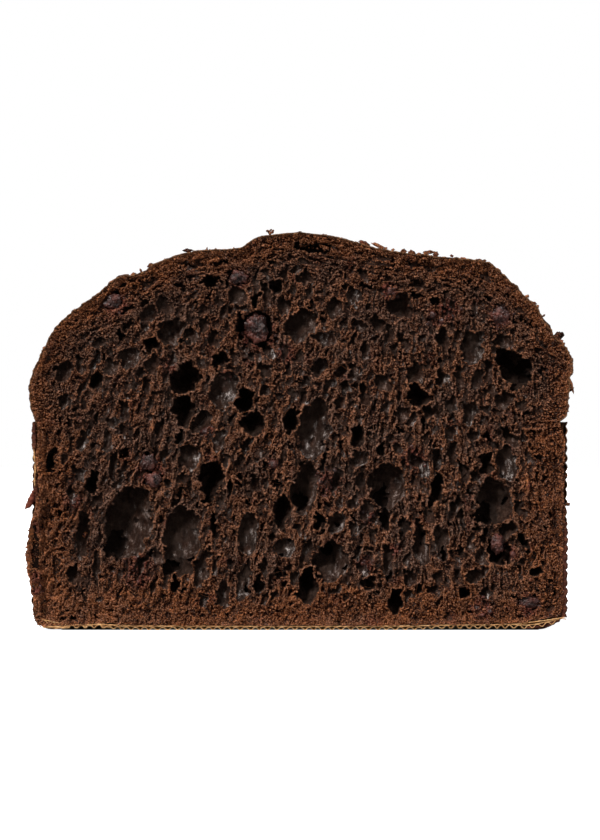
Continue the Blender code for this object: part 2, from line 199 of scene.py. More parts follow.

# Lighter and darker parts of the crumb: x, z, width, height, lean and how light (below zero: how dark).
# Light ones also brighten the painted glints and lit film in the cells, dark ones add painted shade.
TONES = [
    (-26.6, 79.3, 7.0, 11.0, 25, 0.8), (10.5, 104.1, 6.0, 11.0, 35, 0.8), (13.4, 59.7, 6.0, 13.0, 0, 0.5),
    (-21.0, 43.0, 7.0, 8.0, 0, 0.4), (-51.8, 28.2, 4.0, 13.0, 5, 0.4), (-26.3, 22.9, 5.0, 10.0, 8, 0.4),
    (-29.8, 65.0, 4.5, 6.0, 0, 0.4), (-21.0, 108.0, 3.0, 6.0, 0, 0.35), (-58.5, 95.4, 4.5, 7.0, 25, 0.5),
    (-45.5, 95.7, 4.0, 5.0, 0, 0.3), (-14.7, 121.6, 15.0, 6.0, -5, 0.3), (-65.8, 115.0, 11.0, 7.0, 40, 0.4),
    (38.5, 93.0, 11.0, 7.0, 0, 0.25), (33.3, 77.2, 5.0, 7.0, 0, 0.25), (35.7, 38.7, 8.0, 9.0, 0, 0.3),
    (-86.6, 12.4, 16.0, 15.0, 0, 0.9), (-68.0, 8.6, 34.0, 13.0, 0, 0.8), (-20.5, 127.6, 7.0, 8.0, 0, 0.25),
    (7.0, 66.7, 8.0, 13.0, 4, -0.6), (68.3, 33.6, 10.0, 24.0, -12, -0.9),
    (70.0, 44.5, 9.0, 13.0, -15, -0.5), (-73.5, 30.0, 5.0, 15.0, 10, -0.6),
    (-40.3, 22.0, 9.0, 7.0, 0, -0.7), (-50.8, 60.7, 6.5, 9.0, 10, -0.6), (-21.0, 89.4, 4.0, 9.0, 60, -0.35),
    (0.0, 51.0, 9.0, 19.0, 5, -0.5), (6.3, 25.2, 9.0, 17.0, 45, -0.5), (35.0, 113.2, 16.0, 10.0, 10, -0.5),
    (-78.8, 52.0, 13.0, 9.0, 10, -0.5), (-73.5, 47.4, 8.0, 7.0, 0, -0.3), (-29.8, 52.7, 7.0, 15.0, 8, -0.4),
    (28.0, 51.0, 9.0, 17.0, 5, -0.4), (63.0, 89.4, 5.0, 7.0, 0, -0.3), (-6.0, 40.4, 5.0, 15.0, 5, -0.4),
    (-90.3, 62.0, 4.0, 10.0, 0, -0.4), (91.0, 98.2, 3.5, 9.0, -20, -0.3),
    (86.5, 91.0, 13.0, 22.0, 0, -0.45),
]

# Patches where melted chocolate has stained the crumb: x, z, radius.
STAINS = [
    (-15.0, 104.0, 8.0), (9.8, 52.0, 5.5), (-9.5, 58.2, 2.6), (-32.5, 69.6, 3.0), (31.5, 118.8, 3.6),
    (47.6, 109.7, 4.0), (63.5, 7.4, 5.0), (22.8, 23.0, 3.6), (79.8, 50.9, 1.6), (74.0, 27.0, 3.0),
    (-64.0, 114.0, 5.0), (-21.5, 123.0, 4.5), (-52.5, 56.0, 6.0), (80.0, 9.0, 5.0), (70.0, 110.0, 5.0),
    (-26.0, 88.5, 3.0), (-57.0, 21.0, 7.0), (-92.8, 36.0, 2.6), (-92.6, 18.5, 2.8), (-92.4, 14.0, 2.2),
    (52.0, 112.0, 5.0), (-46.0, 93.0, 3.0), (-5.0, 97.0, 4.0), (24.0, 40.0, 3.0), (40.0, 60.0, 5.0),
    (-80.0, 45.0, 4.0), (33.0, 28.0, 3.0),
]

# Larger smears of chocolate, in the same form.
SMEARS = [
    (-9.5, 58.2, 1.8), (-32.8, 69.5, 2.2), (31.6, 118.8, 2.2), (80.0, 50.9, 0.9), (-75.6, 33.4, 0.9),
    (7.0, 52.0, 1.1), (10.6, 50.0, 1.0), (12.2, 56.0, 0.9), (9.0, 47.0, 0.9), (62.0, 7.6, 1.6),
    (66.5, 6.6, 1.2), (46.5, 110.5, 1.6), (49.8, 108.6, 1.2), (74.8, 26.4, 1.4), (22.4, 23.4, 1.2),
    (-20.0, 104.0, 1.3),
]

# The paper case, as in the model.
CASE_INSIDE = 92.0
CASE_VALLEY = 93.0
CASE_CREST = 93.9
WALL_PITCH = 3.0
CORNER = 7.0
LIP_END = 84.0
CASE_BULGE, BULGE_HEIGHT, BULGE_REACH = 1.8, 25.0, 12.0
CRUSHED_CORNER = 3.0
BASE_PITCH = 3.2
WAVE_HEIGHT = 1.05
BASE_TOP = 1.48
BASE_RADIUS, BASE_FLAT_RADIUS, BASE_RIM_RISE = 90.6, 79.0, 2.5
PAPER = 0.28
CASE_SET_BACK, BASE_SET_BACK = 2.6, 0.5
LINER_LOWEST = 0.9
POINTS_A_WAVE = 9

# Papers: name, and the dark, middle and light colour of their fibres.
PAPER_COLOURS = [
    ("brown_paper", (0.022, 0.0065, 0.004), (0.045, 0.014, 0.008), (0.085, 0.032, 0.018)),
    ("plain_paper", (0.28, 0.125, 0.045), (0.58, 0.32, 0.135), (0.82, 0.56, 0.30)),
    ("cut_brown_paper", (0.050, 0.017, 0.006), (0.140, 0.052, 0.019), (0.34, 0.155, 0.060)),
    ("pressed_brown_paper", (0.020, 0.0050, 0.0028), (0.065, 0.0170, 0.0085), (0.20, 0.070, 0.032)),
    ("torn_red_paper", (0.045, 0.010, 0.006), (0.13, 0.030, 0.016), (0.30, 0.085, 0.045)),
]

# Pressed and frayed paper at the cut: name, slot, paper, how far behind the cut, how deeply scalloped,
# and its path as rows of x, z and width. First along the wall, then round the foot.
EDGE_SEED = 64
WALL_EDGES = [
    ("left_edge_high", "case_wall", "pressed_brown_paper", 0.8, 0.0,
     [(-92.9, 60.5, 0.6), (-93.1, 64.0, 1.5), (-93.2, 68.0, 1.8), (-93.2, 72.6, 1.2)]),
    ("left_edge_gap", "case_wall", "pressed_brown_paper", 0.9, 0.0,
     [(-92.8, 45.0, 0.8), (-92.6, 50.0, 2.2), (-92.7, 54.0, 1.6), (-93.1, 58.0, 0.8)]),
    ("right_edge_low", "case_wall", "pressed_brown_paper", 0.7, 0.7,
     [(92.1, 4.6, 1.5), (92.3, 12.0, 1.7), (92.4, 24.0, 1.6), (92.6, 33.0, 1.5), (92.8, 38.0, 0.6)]),
    ("torn_flap", "case_wall", "torn_red_paper", 0.3, 0.0,
     [(-93.4, 49.0, 0.9), (-93.9, 46.4, 2.0), (-94.8, 44.2, 2.3), (-96.4, 42.4, 0.4)]),
]
FOOT_EDGES = [
    ("frayed_left", "case_wall", "plain_paper", 0.3, 0.0,
     [(-92.8, 50.4, 0.2), (-93.0, 52.4, 0.8), (-92.8, 53.8, 0.2), (-92.7, 56.4, 0.9), (-92.8, 58.6, 0.3),
      (-93.0, 60.8, 0.8), (-93.2, 63.6, 0.2)]),
    ("frayed_corner", "case_base", "plain_paper", 0.2, 0.0,
     [(-90.2, 1.2, 0.4), (-88.0, 1.2, 1.0), (-85.0, 1.1, 1.1), (-82.0, 1.0, 0.9), (-80.6, 1.0, 0.4)]),
    ("liner_edge_left", "case_base", "plain_paper", 0.3, 0.0,
     [(-84.0, 1.4, 0.2), (-78.0, 1.9, 0.7), (-70.0, 2.1, 0.6), (-60.0, 1.7, 0.3), (-20.0, 1.42, 0.2),
      (0.0, 1.4, 0.25)]),
    ("liner_edge_right", "case_base", "plain_paper", 0.3, 0.0,
     [(0.0, 1.4, 0.25), (20.0, 1.4, 0.2), (40.0, 1.6, 0.2), (60.0, 1.9, 0.2), (75.0, 2.2, 0.3),
      (80.0, 2.7, 0.5), (88.0, 3.8, 0.5), (92.6, 4.6, 0.3)]),
    ("folded_corner", "case_wall", "pressed_brown_paper", 0.7, 0.0,
     [(79.0, 0.8, 0.6), (83.0, 1.3, 1.3), (87.0, 2.2, 1.7), (91.0, 3.7, 1.2)]),
]
# Torn scraps of the base's liner: where they start and end in x and z, how deep they are and how they curl.
SCRAPS = [
    (-70.0, 1.9, -66.6, 1.1, 3.4, 0.3), (-81.0, 1.2, -88.6, 1.3, 2.2, 0.5),
    (-76.0, 1.5, -70.5, 2.2, 2.0, 0.2), (91.4, 4.3, 93.2, 4.0, 1.6, 0.5),
]

# Crumbs and flakes that stand on the loaf's outline: x, z, width, height and lean.
OUTLINE_CRUMBS = [
    (-10.6, 139.3, 1.6, 1.4, 10), (-9.6, 139.7, 1.3, 1.0, -25), (-11.4, 139.9, 0.8, 0.7, 30),
    (-10.2, 140.3, 0.8, 0.6, 0), (-32.6, 133.4, 0.8, 1.3, 0), (-29.4, 133.4, 0.9, 0.9, 0),
    (-52.6, 128.0, 2.0, 1.0, -20), (-55.6, 125.7, 0.9, 1.5, 10), (-56.0, 126.3, 0.5, 0.8, 10),
    (-58.4, 124.8, 1.6, 0.9, -10), (22.6, 135.6, 5.0, 1.2, 14), (27.6, 134.7, 4.6, 1.3, 16),
    (30.0, 133.7, 1.4, 0.9, 0), (32.6, 133.3, 1.5, 0.8, 0), (36.4, 132.8, 2.8, 1.3, 0),
    (39.2, 132.3, 2.2, 1.5, 20), (41.6, 131.9, 1.6, 0.8, 10), (45.2, 132.5, 4.6, 0.9, -4),
    (47.6, 131.7, 2.4, 1.6, 0), (44.2, 131.8, 2.0, 1.2, 0), (94.9, 86.2, 1.5, 4.4, -18),
    (95.2, 84.4, 1.4, 1.6, 40), (53.2, 131.2, 1.3, 0.8, 0), (57.6, 130.1, 3.0, 0.8, 12),
    (63.0, 129.7, 2.6, 0.8, 24), (64.4, 129.4, 1.6, 1.2, 20), (69.6, 126.4, 2.0, 0.6, 40),
    (79.6, 117.0, 1.6, 1.1, 40), (82.0, 114.6, 1.9, 1.1, 40), (83.2, 113.4, 1.2, 1.0, 30),
    (85.3, 110.2, 2.0, 0.5, -45), (87.2, 106.0, 0.9, 1.7, -25), (90.6, 102.4, 1.2, 2.4, -38),
    (91.4, 101.2, 1.6, 1.4, -38), (92.4, 100.2, 1.2, 1.0, -38), (-62.0, 124.1, 4.4, 1.0, -14),
    (-65.4, 122.4, 3.4, 0.9, -32), (-89.6, 98.8, 1.0, 1.2, 0), (-94.4, 84.0, 0.9, 1.2, 0),
    (95.2, 94.0, 0.9, 1.8, 0), (93.9, 78.4, 1.0, 1.4, 0), (93.8, 44.2, 1.6, 1.2, -30),
    (93.2, 54.2, 1.0, 0.6, 0),
]

# Dark lumps and scorched flakes on the outline, in the same form.
DARK_LUMPS = [
    (90.3, 102.6, 4.4, 4.2, 0), (89.4, 101.8, 3.2, 3.4, 20), (86.6, 106.4, 2.0, 4.6, -35),
    (-39.2, 133.1, 3.4, 1.3, -8), (-63.2, 123.8, 3.4, 0.7, -20), (-33.0, 132.9, 3.0, 0.8, -6),
]

# Bright crumbs on the face, in the same form, and how stained they are.
LOOSE_CRUMBS = [
    (79.8, 50.9, 1.5, 4.6, -5, 0.0), (-75.6, 33.4, 1.5, 1.7, 0, 0.0), (-32.9, 69.7, 3.6, 1.4, -25, 1.0),
    (-31.0, 70.6, 1.8, 1.2, -20, 1.0), (-9.5, 58.6, 1.5, 2.6, 10, 1.0), (31.4, 117.4, 2.0, 1.6, 0, 0.1),
    (33.0, 119.8, 1.6, 2.4, 20, 0.6), (29.6, 120.6, 1.7, 1.3, 0, 0.9), (85.4, 70.6, 1.2, 2.0, 0, 0.0),
    (-51.6, 71.4, 1.4, 2.2, 10, 0.0), (61.9, 7.0, 2.4, 1.4, 20, 1.0), (81.0, 17.6, 1.8, 1.2, -20, 0.7),
    (-86.0, 47.6, 1.6, 5.6, 8, 0.0), (-88.6, 51.0, 1.2, 3.4, -6, 0.0), (56.0, 53.6, 1.0, 2.2, 0, 0.0),
]

# The torn face: the step of its grid, what its finish reads there, how many upright strips it has, and
# how far back the rim and the slab behind it reach and how much narrower they get.
FACE_STEP = 0.25
FACE_VALUES = ("torn", "crest", "warm", "stain", "shade", "gloss_and_glint", "film_and_lit_side")
FACE_TILES = 5
LIP_BACK, LIP_SHRINK = 3.0, 0.974
SLAB_BACK, SLAB_SHRINK = 14.0, 0.98
# The outline is searched square by square, and the squares are this wide.
NEAR_BLOCK = 6.0
# How many loose grains, strands and tufts there are, and how large a usual grain and tuft is.
GRAINS, GRAIN_SIZE = 46000, 0.19
FREE_STRANDS = 1100
EDGE_CRUMBS, EDGE_CRUMB_SIZE = 300, 0.45
# How large the scattered cells are: shares of the tries, and radii at those shares.
CELL_TRIES = 20000
CELL_SHARES = [0.0, 0.03, 0.10, 0.25, 0.5, 1.0]
CELL_RADII = [3.0, 2.2, 1.6, 1.15, 0.8, 0.5]
# How the strands of crumb lean: places across the face, and degrees there.
LEAN_PLACES, LEANS = [-95, -60, -20, 20, 60, 95], [14, 16, 12, 6, -6, -12]
WALL_THICK = 0.38
SEED = 41

# The studio. Lamps are far and soft: name, where they shine from, spread in degrees, strength, colour.
FLOOR_RADIUS = 4000.0
SHADED_FLOOR_SIDE, SHADED_FLOOR_FRONT = 84.0, 4.5
LAMPS = [
    ("key", (-0.62, -0.85, 0.95), 12.0, 4.3, (1.0, 0.965, 0.93)),
    ("front", (0.0, -1.0, 0.10), 100.0, 0.80, (1.0, 0.95, 0.91)),
    ("fill", (1.1, -1.2, 0.45), 40.0, 0.35, (0.93, 0.96, 1.0)),
]
# In metres: the camera's distance from the cut, its height, and how much of the cut's height it sees.
VIEW_DISTANCE, VIEW_HEIGHT, FRAME_HEIGHT = 1.2, 0.07368, 0.294


# ================================================================ shapes shared by several pieces

def along_line(points):
    """How far along a line each of its points lies."""
    return np.concatenate(([0.0], np.cumsum(np.hypot(*np.diff(points, axis=0).T))))


def curve_through(points, count):
    """Evenly spaced points on a smooth curve through the given ones."""
    ends = [points[0]] + list(points) + [points[-1]]
    fine = []
    for i in range(1, len(ends) - 2):
        before, start, end, after = (Vector(p) for p in ends[i - 1 : i + 3])
        for step in range(12):
            t = step / 12
            fine.append(0.5 * (2 * start + (end - before) * t
                               + (2 * before - 5 * start + 4 * end - after) * t ** 2
                               + (3 * start - before - 3 * end + after) * t ** 3))
    fine = np.array(fine + [Vector(points[-1])])
    along = along_line(fine)
    wanted = np.linspace(0.0, along[-1], count)
    return np.stack([np.interp(wanted, along, fine[:, k]) for k in (0, 1)], axis=1)


def swirl(x, y, size, seed):
    """Smooth unevenness between about -1 and 1, with features `size` across."""
    angle = np.random.default_rng(seed).uniform(0, 2 * math.pi, (256, 256))
    u, v = np.asarray(x) / size + 300.0, np.asarray(y) / size + 300.0
    i, j = np.floor(u).astype(int), np.floor(v).astype(int)
    u, v = u - i, v - j

    def corner(right, up):
        turn = angle[(i + right) & 255, (j + up) & 255]
        return np.cos(turn) * (u - right) + np.sin(turn) * (v - up)

    ease_u = u * u * u * (u * (u * 6 - 15) + 10)
    ease_v = v * v * v * (v * (v * 6 - 15) + 10)
    lower = corner(0, 0) + ease_u * (corner(1, 0) - corner(0, 0))
    upper = corner(0, 1) + ease_u * (corner(1, 1) - corner(0, 1))
    return 1.5 * (lower + ease_v * (upper - lower))


def swirls(x, y, *rows):
    """Several swirls added up, each given by its strength, size and seed."""
    return sum(strength * swirl(x, y, size, seed) for strength, size, seed in rows)


def smooth(low, high, value):
    """0 below low, 1 above high, eased between them."""
    t = np.clip((value - low) / (high - low), 0.0, 1.0)
    return t * t * (3 - 2 * t)


def leaning(lean, right, up):
    """How far a place lies across and along a shape that leans by so many degrees."""
    turn = np.radians(lean)
    return right * np.cos(turn) - up * np.sin(turn), right * np.sin(turn) + up * np.cos(turn)


def ragged(x, z):
    """How far the edge of the cut strays outward at a place, from crumbs and tears."""
    shoulder = smooth(40, 62, x) * smooth(76, 92, z) * (1 - 0.8 * smooth(106, 113, z))
    return swirls(x, z, (0.28 + 0.35 * shoulder, 3.1, 52), (0.20 + 0.20 * shoulder, 1.2, 53), (0.12, 0.6, 54))


def face_outline():
    """The edge of the cut face as x and z, from the lower left over the dome to the lower right."""
    left, right = curve_through(CRUST_LEFT, 220) * (-1, 1), curve_through(CRUST_RIGHT, 220)
    low_left, low_right = curve_through(CRUMB_LEFT, 220), curve_through(CRUMB_RIGHT, 170)
    line = np.concatenate([low_left[::-1], left[::-1], right[1:], low_right])
    ahead = np.gradient(line, axis=0)
    outward = np.stack([-ahead[:, 1], ahead[:, 0]], axis=1) / np.hypot(*ahead.T)[:, None]
    return line + outward * ragged(*line.T)[:, None]


OUTLINE = face_outline()


def from_outline(x, z):
    """How far points lie inside the outline, negative outside, with the nearest edge point and the way in."""
    start, end = OUTLINE, np.roll(OUTLINE, -1, axis=0)
    step = end - start
    length = np.hypot(step[:, 0], step[:, 1])
    inward = np.stack([step[:, 1], -step[:, 0]], axis=1) / length[:, None]
    depth, near, facing = np.empty(len(x)), np.empty((len(x), 2)), np.empty((len(x), 2))
    block = np.floor(x / NEAR_BLOCK).astype(int) * 1000 + np.floor(z / NEAR_BLOCK).astype(int)
    order = np.argsort(block, kind="stable")
    for part in np.split(order, np.flatnonzero(np.diff(block[order])) + 1):
        spot = np.stack([x[part], z[part]], axis=1)
        away = np.hypot(*(start - spot.mean(0)).T)
        close = np.flatnonzero(away < away.min() + 2 * NEAR_BLOCK + 2 * length.max())
        spot = spot[:, None, :]
        share = np.clip(((spot - start[close]) * step[close]).sum(2) / length[close] ** 2, 0, 1)
        foot = start[close] + share[:, :, None] * step[close]
        away = np.hypot(*np.moveaxis(spot - foot, 2, 0))
        pick = away.argmin(axis=1)
        near[part] = foot[np.arange(len(pick)), pick]
        facing[part] = inward[close[pick]]
        side = ((spot[:, 0] - near[part]) * facing[part]).sum(1)
        depth[part] = np.where(side >= 0, 1, -1) * away.min(axis=1)
    return depth, near, facing


# ================================================================ finished pieces

def put_in_scene(name, data):
    """A new object that holds a mesh, a lamp or the camera."""
    made = bpy.data.objects.new(name, data)
    bpy.context.scene.collection.objects.link(made)
    return made


def add_piece(name, mesh, slot, finishes, replaced=()):
    """Puts a mesh in the scene as one piece of the object."""
    made = put_in_scene(name, mesh)
    for finish in finishes:
        mesh.materials.append(finish)
    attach(made, "root")
    if replaced:
        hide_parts(*replaced)
    return made


def mesh_from(bm, name, smooth_shading=True):
    """Turns a millimetre bmesh into a mesh in metres."""
    bm.transform(Matrix.Scale(MM, 4))
    mesh = bpy.data.meshes.new(name)
    bm.to_mesh(mesh)
    bm.free()
    if smooth_shading:
        mesh.shade_smooth()
    return mesh


def write_values(mesh, **values):
    """Stores one number for each vertex under each name."""
    for name, numbers in values.items():
        layer = mesh.attributes.new(name=name, type="FLOAT", domain="POINT")
        layer.data.foreach_set("value", np.asarray(numbers, dtype=np.float32))


def shaped_grid(across, up, shape):
    """A grid of faces whose points are put in place by shape(u, v), with u and v from 0 to 1."""
    bm = bmesh.new()
    bmesh.ops.create_grid(bm, x_segments=across, y_segments=up, size=1.0)
    spots = np.array([vert.co[:2] for vert in bm.verts])
    places = shape((spots[:, 0] + 1) / 2, (spots[:, 1] + 1) / 2)
    for vert, place in zip(bm.verts, places.tolist()):
        vert.co = place
    bmesh.ops.remove_doubles(bm, verts=bm.verts, dist=0.001)
    return bm


def thicken(made, thickness, rim=0):
    """Gives a sheet its thickness inwards, with one of its finishes along the edges."""
    shell = made.modifiers.new("thickness", "SOLIDIFY")
    shell.thickness = thickness * MM
    shell.offset = -1.0
    shell.material_offset_rim = rim
    return shell


def paper_piece(name, bm, slot, finishes, inside, thickness=PAPER, replaced=()):
    """A sheet of paper: thickness inwards, with its second finish inside and on its cut edges."""
    mesh = mesh_from(bm, name)
    turn_outward(mesh, inside)
    thicken(add_piece(name, mesh, slot, finishes, replaced), thickness, 1).material_offset = 1


def joined_copies(name, template, places, values=None):
    """One mesh of many copies of a small bmesh shape, each put in place by its own function of points."""
    points = np.array([vert.co[:] for vert in template.verts])
    faces = np.array([[vert.index for vert in face.verts] for face in template.faces])
    template.free()
    all_points = np.concatenate([place(points) for place in places]) * MM
    firsts = len(points) * np.arange(len(places))[:, None, None]
    all_faces = (faces[None] + firsts).reshape(-1, faces.shape[1])
    mesh = bpy.data.meshes.new(name)
    mesh.from_pydata(all_points.tolist(), [], all_faces.tolist())
    mesh.shade_smooth()
    if values:
        write_values(mesh, **{key: np.repeat(numbers, len(points)) for key, numbers in values.items()})
    return mesh


def uneven_ball(subdivisions, amount, seed):
    """A unit ball with a lumpy surface."""
    bm = bmesh.new()
    bmesh.ops.create_icosphere(bm, subdivisions=subdivisions, radius=1.0)
    for vert in bm.verts:
        away = vert.co.normalized()
        vert.co = away * (1 + amount * (noise.noise(away * 1.7 + Vector((seed, 0, 0)))
                                        + 0.5 * noise.noise(away * 3.9 + Vector((0, seed, 0)))))
    return bm


def small_lump(amount, seed):
    """A lumpy body of two dozen four-sided faces, for shapes that are repeated many times."""
    bm = bmesh.new()
    bmesh.ops.create_cube(bm, size=2.0)
    bmesh.ops.subdivide_edges(bm, edges=bm.edges, cuts=1, use_grid_fill=True)
    for vert in bm.verts:
        away = vert.co.normalized()
        vert.co = away * (1 + amount * noise.noise(away * 1.7 + Vector((seed, 0, 0))))
    return bm


def turned(rng):
    """A random rotation as a 3 by 3 array."""
    spin, _ = np.linalg.qr(rng.normal(size=(3, 3)))
    return spin * np.sign(np.linalg.det(spin))


# ================================================================ the cell field of the cut face

def lean_at(x):
    """The way that the crumb's strands lean across the face."""
    return np.interp(x, LEAN_PLACES, LEANS)


def named_cells():
    """The cells with a place of their own, as rows.

    A row holds x, z, half width, half height, lean, growth, depth, roundness, deep and gloss,
    the last two also painting shade and glints into the cell.
    """
    kinds = ((DEEP_CELLS, 0.1, 1.4, 1.9, 0.8, 1.0, 0.0), (SMOOTH_CELLS, 0.0, 1.0, 0.78, 1.0, 0.25, 0.35),
             (GLOSSY_CELLS, 0.0, 0.8, 0.55, 1.0, 0.0, 1.0))
    cells = []
    for rows, growth, least, slope, roundness, deep, gloss_and_glint in kinds:
        for x, z, width, height, lean in rows:
            depth = least + slope * min(width, height) / 2
            cells.append((x, z, width / 2, height / 2, lean, growth, depth, roundness, deep, gloss_and_glint))
    return cells


def copy_at(matrix, middle):
    """Puts a small shape in place: turned and stretched by a 3 by 3 array, then moved."""
    return lambda points: points @ matrix + middle


class FreeSpace:
    """A coarse map of which parts of the face already hold a cell."""

    STEP = 0.25

    def __init__(self):
        self.taken = np.zeros((int(200 / self.STEP), int(150 / self.STEP)), bool)

    def spot(self, x, z):
        """The square of the map that a place lies in."""
        return int((x + 100) / self.STEP), int((z + 2) / self.STEP)

    def is_free(self, x, z, radius):
        """Whether a place and eight round it are still free."""
        for i in range(8):
            angle = math.pi / 4 * i
            if self.taken[self.spot(x + radius * math.cos(angle), z + radius * math.sin(angle))]:
                return False
        return not self.taken[self.spot(x, z)]

    def take(self, x, z, half_width, half_height, lean, margin):
        """Marks a leaning oval as held, with a margin round it."""
        reach = max(half_width, half_height) + margin
        low_i, low_j = (max(k, 0) for k in self.spot(x - reach, z - reach))
        high_i, high_j = self.spot(x + reach, z + reach)
        i, j = np.mgrid[low_i : high_i + 1, low_j : high_j + 1]
        across, along = leaning(lean, i * self.STEP - 100 - x, j * self.STEP - 2 - z)
        inside = (across / (half_width + margin)) ** 2 + (along / (half_height + margin)) ** 2 < 1
        self.taken[low_i : high_i + 1, low_j : high_j + 1] |= inside


def scattered_cells(named):
    """Seeded cells that fill the rest of the face, from medium ones down to the finest pores."""
    rng = np.random.default_rng(SEED)
    space = FreeSpace()
    for cell in named:
        space.take(*cell[:5], 0.25)
    for row in CHOCOLATE_CELLS:
        space.take(row[0], row[1], row[2] / 2, row[3] / 2, row[4], 0.8)
    cells = []
    spots_x = rng.uniform(-95, 95, CELL_TRIES)
    spots_z = rng.uniform(2.5, 139, CELL_TRIES)
    inside, _, facing = from_outline(spots_x, spots_z)
    dense = swirl(spots_x, spots_z, 13.0, 67) > 0.26
    radii = np.interp(np.linspace(0, 1, CELL_TRIES), CELL_SHARES, CELL_RADII)
    for x, z, depth, inward, radius, packed in zip(spots_x, spots_z, inside, facing, radii, dense):
        near_crust = 1 - smooth(4.0, 16.0, depth) if z > 70 else 0.9 * (1 - smooth(5.0, 18.0, depth))
        near_foot = 1 - smooth(2.5, 8.5, z)
        largest = 3.3 - 2.5 * max(near_crust, near_foot, 0.8 * packed)
        if depth < 0.9 or radius > largest or (z < 72 and depth < 10 and rng.random() < 0.35):
            continue
        low = z < 72 and depth > 9
        stretch = rng.uniform(1.5, 3.8) if low else rng.uniform(1.0, 2.4)
        lean = lean_at(x) + rng.normal(0, 15 if low else 24)
        if z > 60 and near_crust > 0.25:
            lean = math.degrees(math.atan2(inward[1], -inward[0])) + rng.normal(0, 14)
            stretch = rng.uniform(1.8, 4.5)
        half_width, half_height = radius / math.sqrt(stretch), radius * math.sqrt(stretch)
        if not space.is_free(x, z, radius * 0.95):
            continue
        space.take(x, z, half_width, half_height, lean, 0.12)
        kind = rng.random()
        deep = 1.0 if kind < 0.08 else rng.uniform(0.0, 0.35)
        gloss_and_glint = 1.0 if kind > 0.70 else rng.uniform(0.0, 0.4)
        hollow = (0.35 + radius * rng.uniform(0.5, 1.15)) * (1.8 if deep > 0.5 else 1.0)
        growth = 0.34 - 0.16 * max(near_crust, near_foot)
        roundness = rng.uniform(0.7, 1.0)
        cells.append((x, z, half_width, half_height, lean, growth, hollow, roundness, deep, gloss_and_glint))
    return cells


def cell_edges(across_x, across_z, cells, rows, columns):
    """For each point of the face, how far outside the two nearest cells it lies, and which the nearest is."""
    nearest, second = np.full((2, *across_x.shape), 9.0)
    which = np.zeros(across_x.shape, int)
    left, low = columns[0], rows[0]
    for number, (cx, cz, half_width, half_height, lean, growth, *_) in enumerate(cells):
        reach = max(half_width, half_height) + growth + 2.2
        i0, i1 = int((cz - reach - low) / FACE_STEP), int((cz + reach - low) / FACE_STEP) + 2
        j0, j1 = int((cx - reach - left) / FACE_STEP), int((cx + reach - left) / FACE_STEP) + 2
        window = (slice(max(i0, 0), max(i1, 0)), slice(max(j0, 0), max(j1, 0)))
        dx, dz = across_x[window] - cx, across_z[window] - cz
        across, along = leaning(lean, dx, dz)
        share = np.hypot(across / half_width, along / half_height)
        scale = np.where(share < 1, min(half_width, half_height), np.hypot(dx, dz) / np.maximum(share, 1))
        edge = (share - 1) * scale - growth
        best, next_best = nearest[window], second[window]
        closer = edge < best
        second[window] = np.where(closer, best, np.minimum(next_best, edge))
        nearest[window] = np.where(closer, edge, best)
        which[window] = np.where(closer, number, which[window])
    return nearest, second, which


def chocolate_cells():
    """The face's own note of where the model's chocolate pieces sit, as rows like a cell's."""
    rows = []
    for name in CHOCOLATE_NODES:
        low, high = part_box(name)
        middle, size = (low + high) / 2 / MM, (high - low) / MM
        rows.append((middle.x, middle.z, size.x, size.z, 0.0))
    return rows


CHOCOLATE_CELLS = chocolate_cells()


def tone_at(x, z):
    """How much lighter (above zero) or darker the crumb shows at a place."""
    return sum(row[5] * hollow_of(x, z, row[:5]) ** 2 for row in TONES)


def hollow_of(x, z, row):
    """0 outside a leaning oval, rising to 1 in its middle."""
    cx, cz, width, height, lean = row
    across, along = leaning(lean, x - cx, z - cz)
    share = np.hypot(across * 2 / width, along * 2 / height)
    return np.sqrt(np.clip(1 - share ** 4, 0, 1))


def holes_behind(x, z):
    """How much deeper the face lies at the holes inside its cells and round its chocolate."""
    hole = np.zeros(x.shape)
    for row in INNER_HOLES:
        hole = np.maximum(hole, hollow_of(x, z, row) * min(4.5, 1.2 + min(row[2], row[3])))
    for cx, cz, width, height, lean in CHOCOLATE_CELLS:
        free = 1.5 if width > 8 else 0.1
        grown = (cx + 0.2 * free, cz - 0.1 * free, width + free, height + free, lean)
        hole = np.maximum(hole, hollow_of(x, z, grown) * (3.0 + 0.8 * free))
    return hole


def crumb_flow(x, z, inside):
    """Places across and along the way the crumb was drawn, and across it with its waver.

    Deep inside it leans; by the crust it follows the dome.
    """
    across, along = leaning(lean_at(x), x, z)
    by_crust = (1 - smooth(5, 15, inside)) * smooth(68, 84, z)
    across = across * (1 - by_crust) + by_crust * inside + 0.5 * swirl(x, z, 2.0, 68)
    along = along * (1 - by_crust) + by_crust * 85 * np.arctan2(x, z - 45) + 0.8 * swirl(x, z, 2.0, 69)
    return across, along, across + 0.7 * swirl(x, z, 3.4, 61)


def crumb_relief(x, z, across, along, flow):
    """How rough the torn crumb is: grains, lumps, pores and, low in the loaf, fibres."""
    speckle = np.random.default_rng(SEED + 11).uniform(-1, 1, x.shape)
    grains = 0.70 * speckle + 0.30 * swirl(x, z, 0.42, 13) + 0.12 * swirl(across, along / 1.6, 0.75, 14)
    lumps = 0.6 * swirl(x, z, 2.6, 15) + 0.3 * swirl(across, along / 1.6, 1.3, 27)
    pores = 0.6 * smooth(0.3, 0.7, swirl(across, along / 2.6, 1.8, 22))
    pores += 0.3 * smooth(0.25, 0.6, swirl(across, along / 2.2, 1.05, 23))
    fibres = 1.0 * swirl(flow, along / 4.5, 2.4, 20) + 0.30 * swirl(flow, along / 6.0, 0.9, 21)
    return grains + lumps + pores + fibres * (1 - smooth(75, 110, z)) * smooth(4, 14, z)


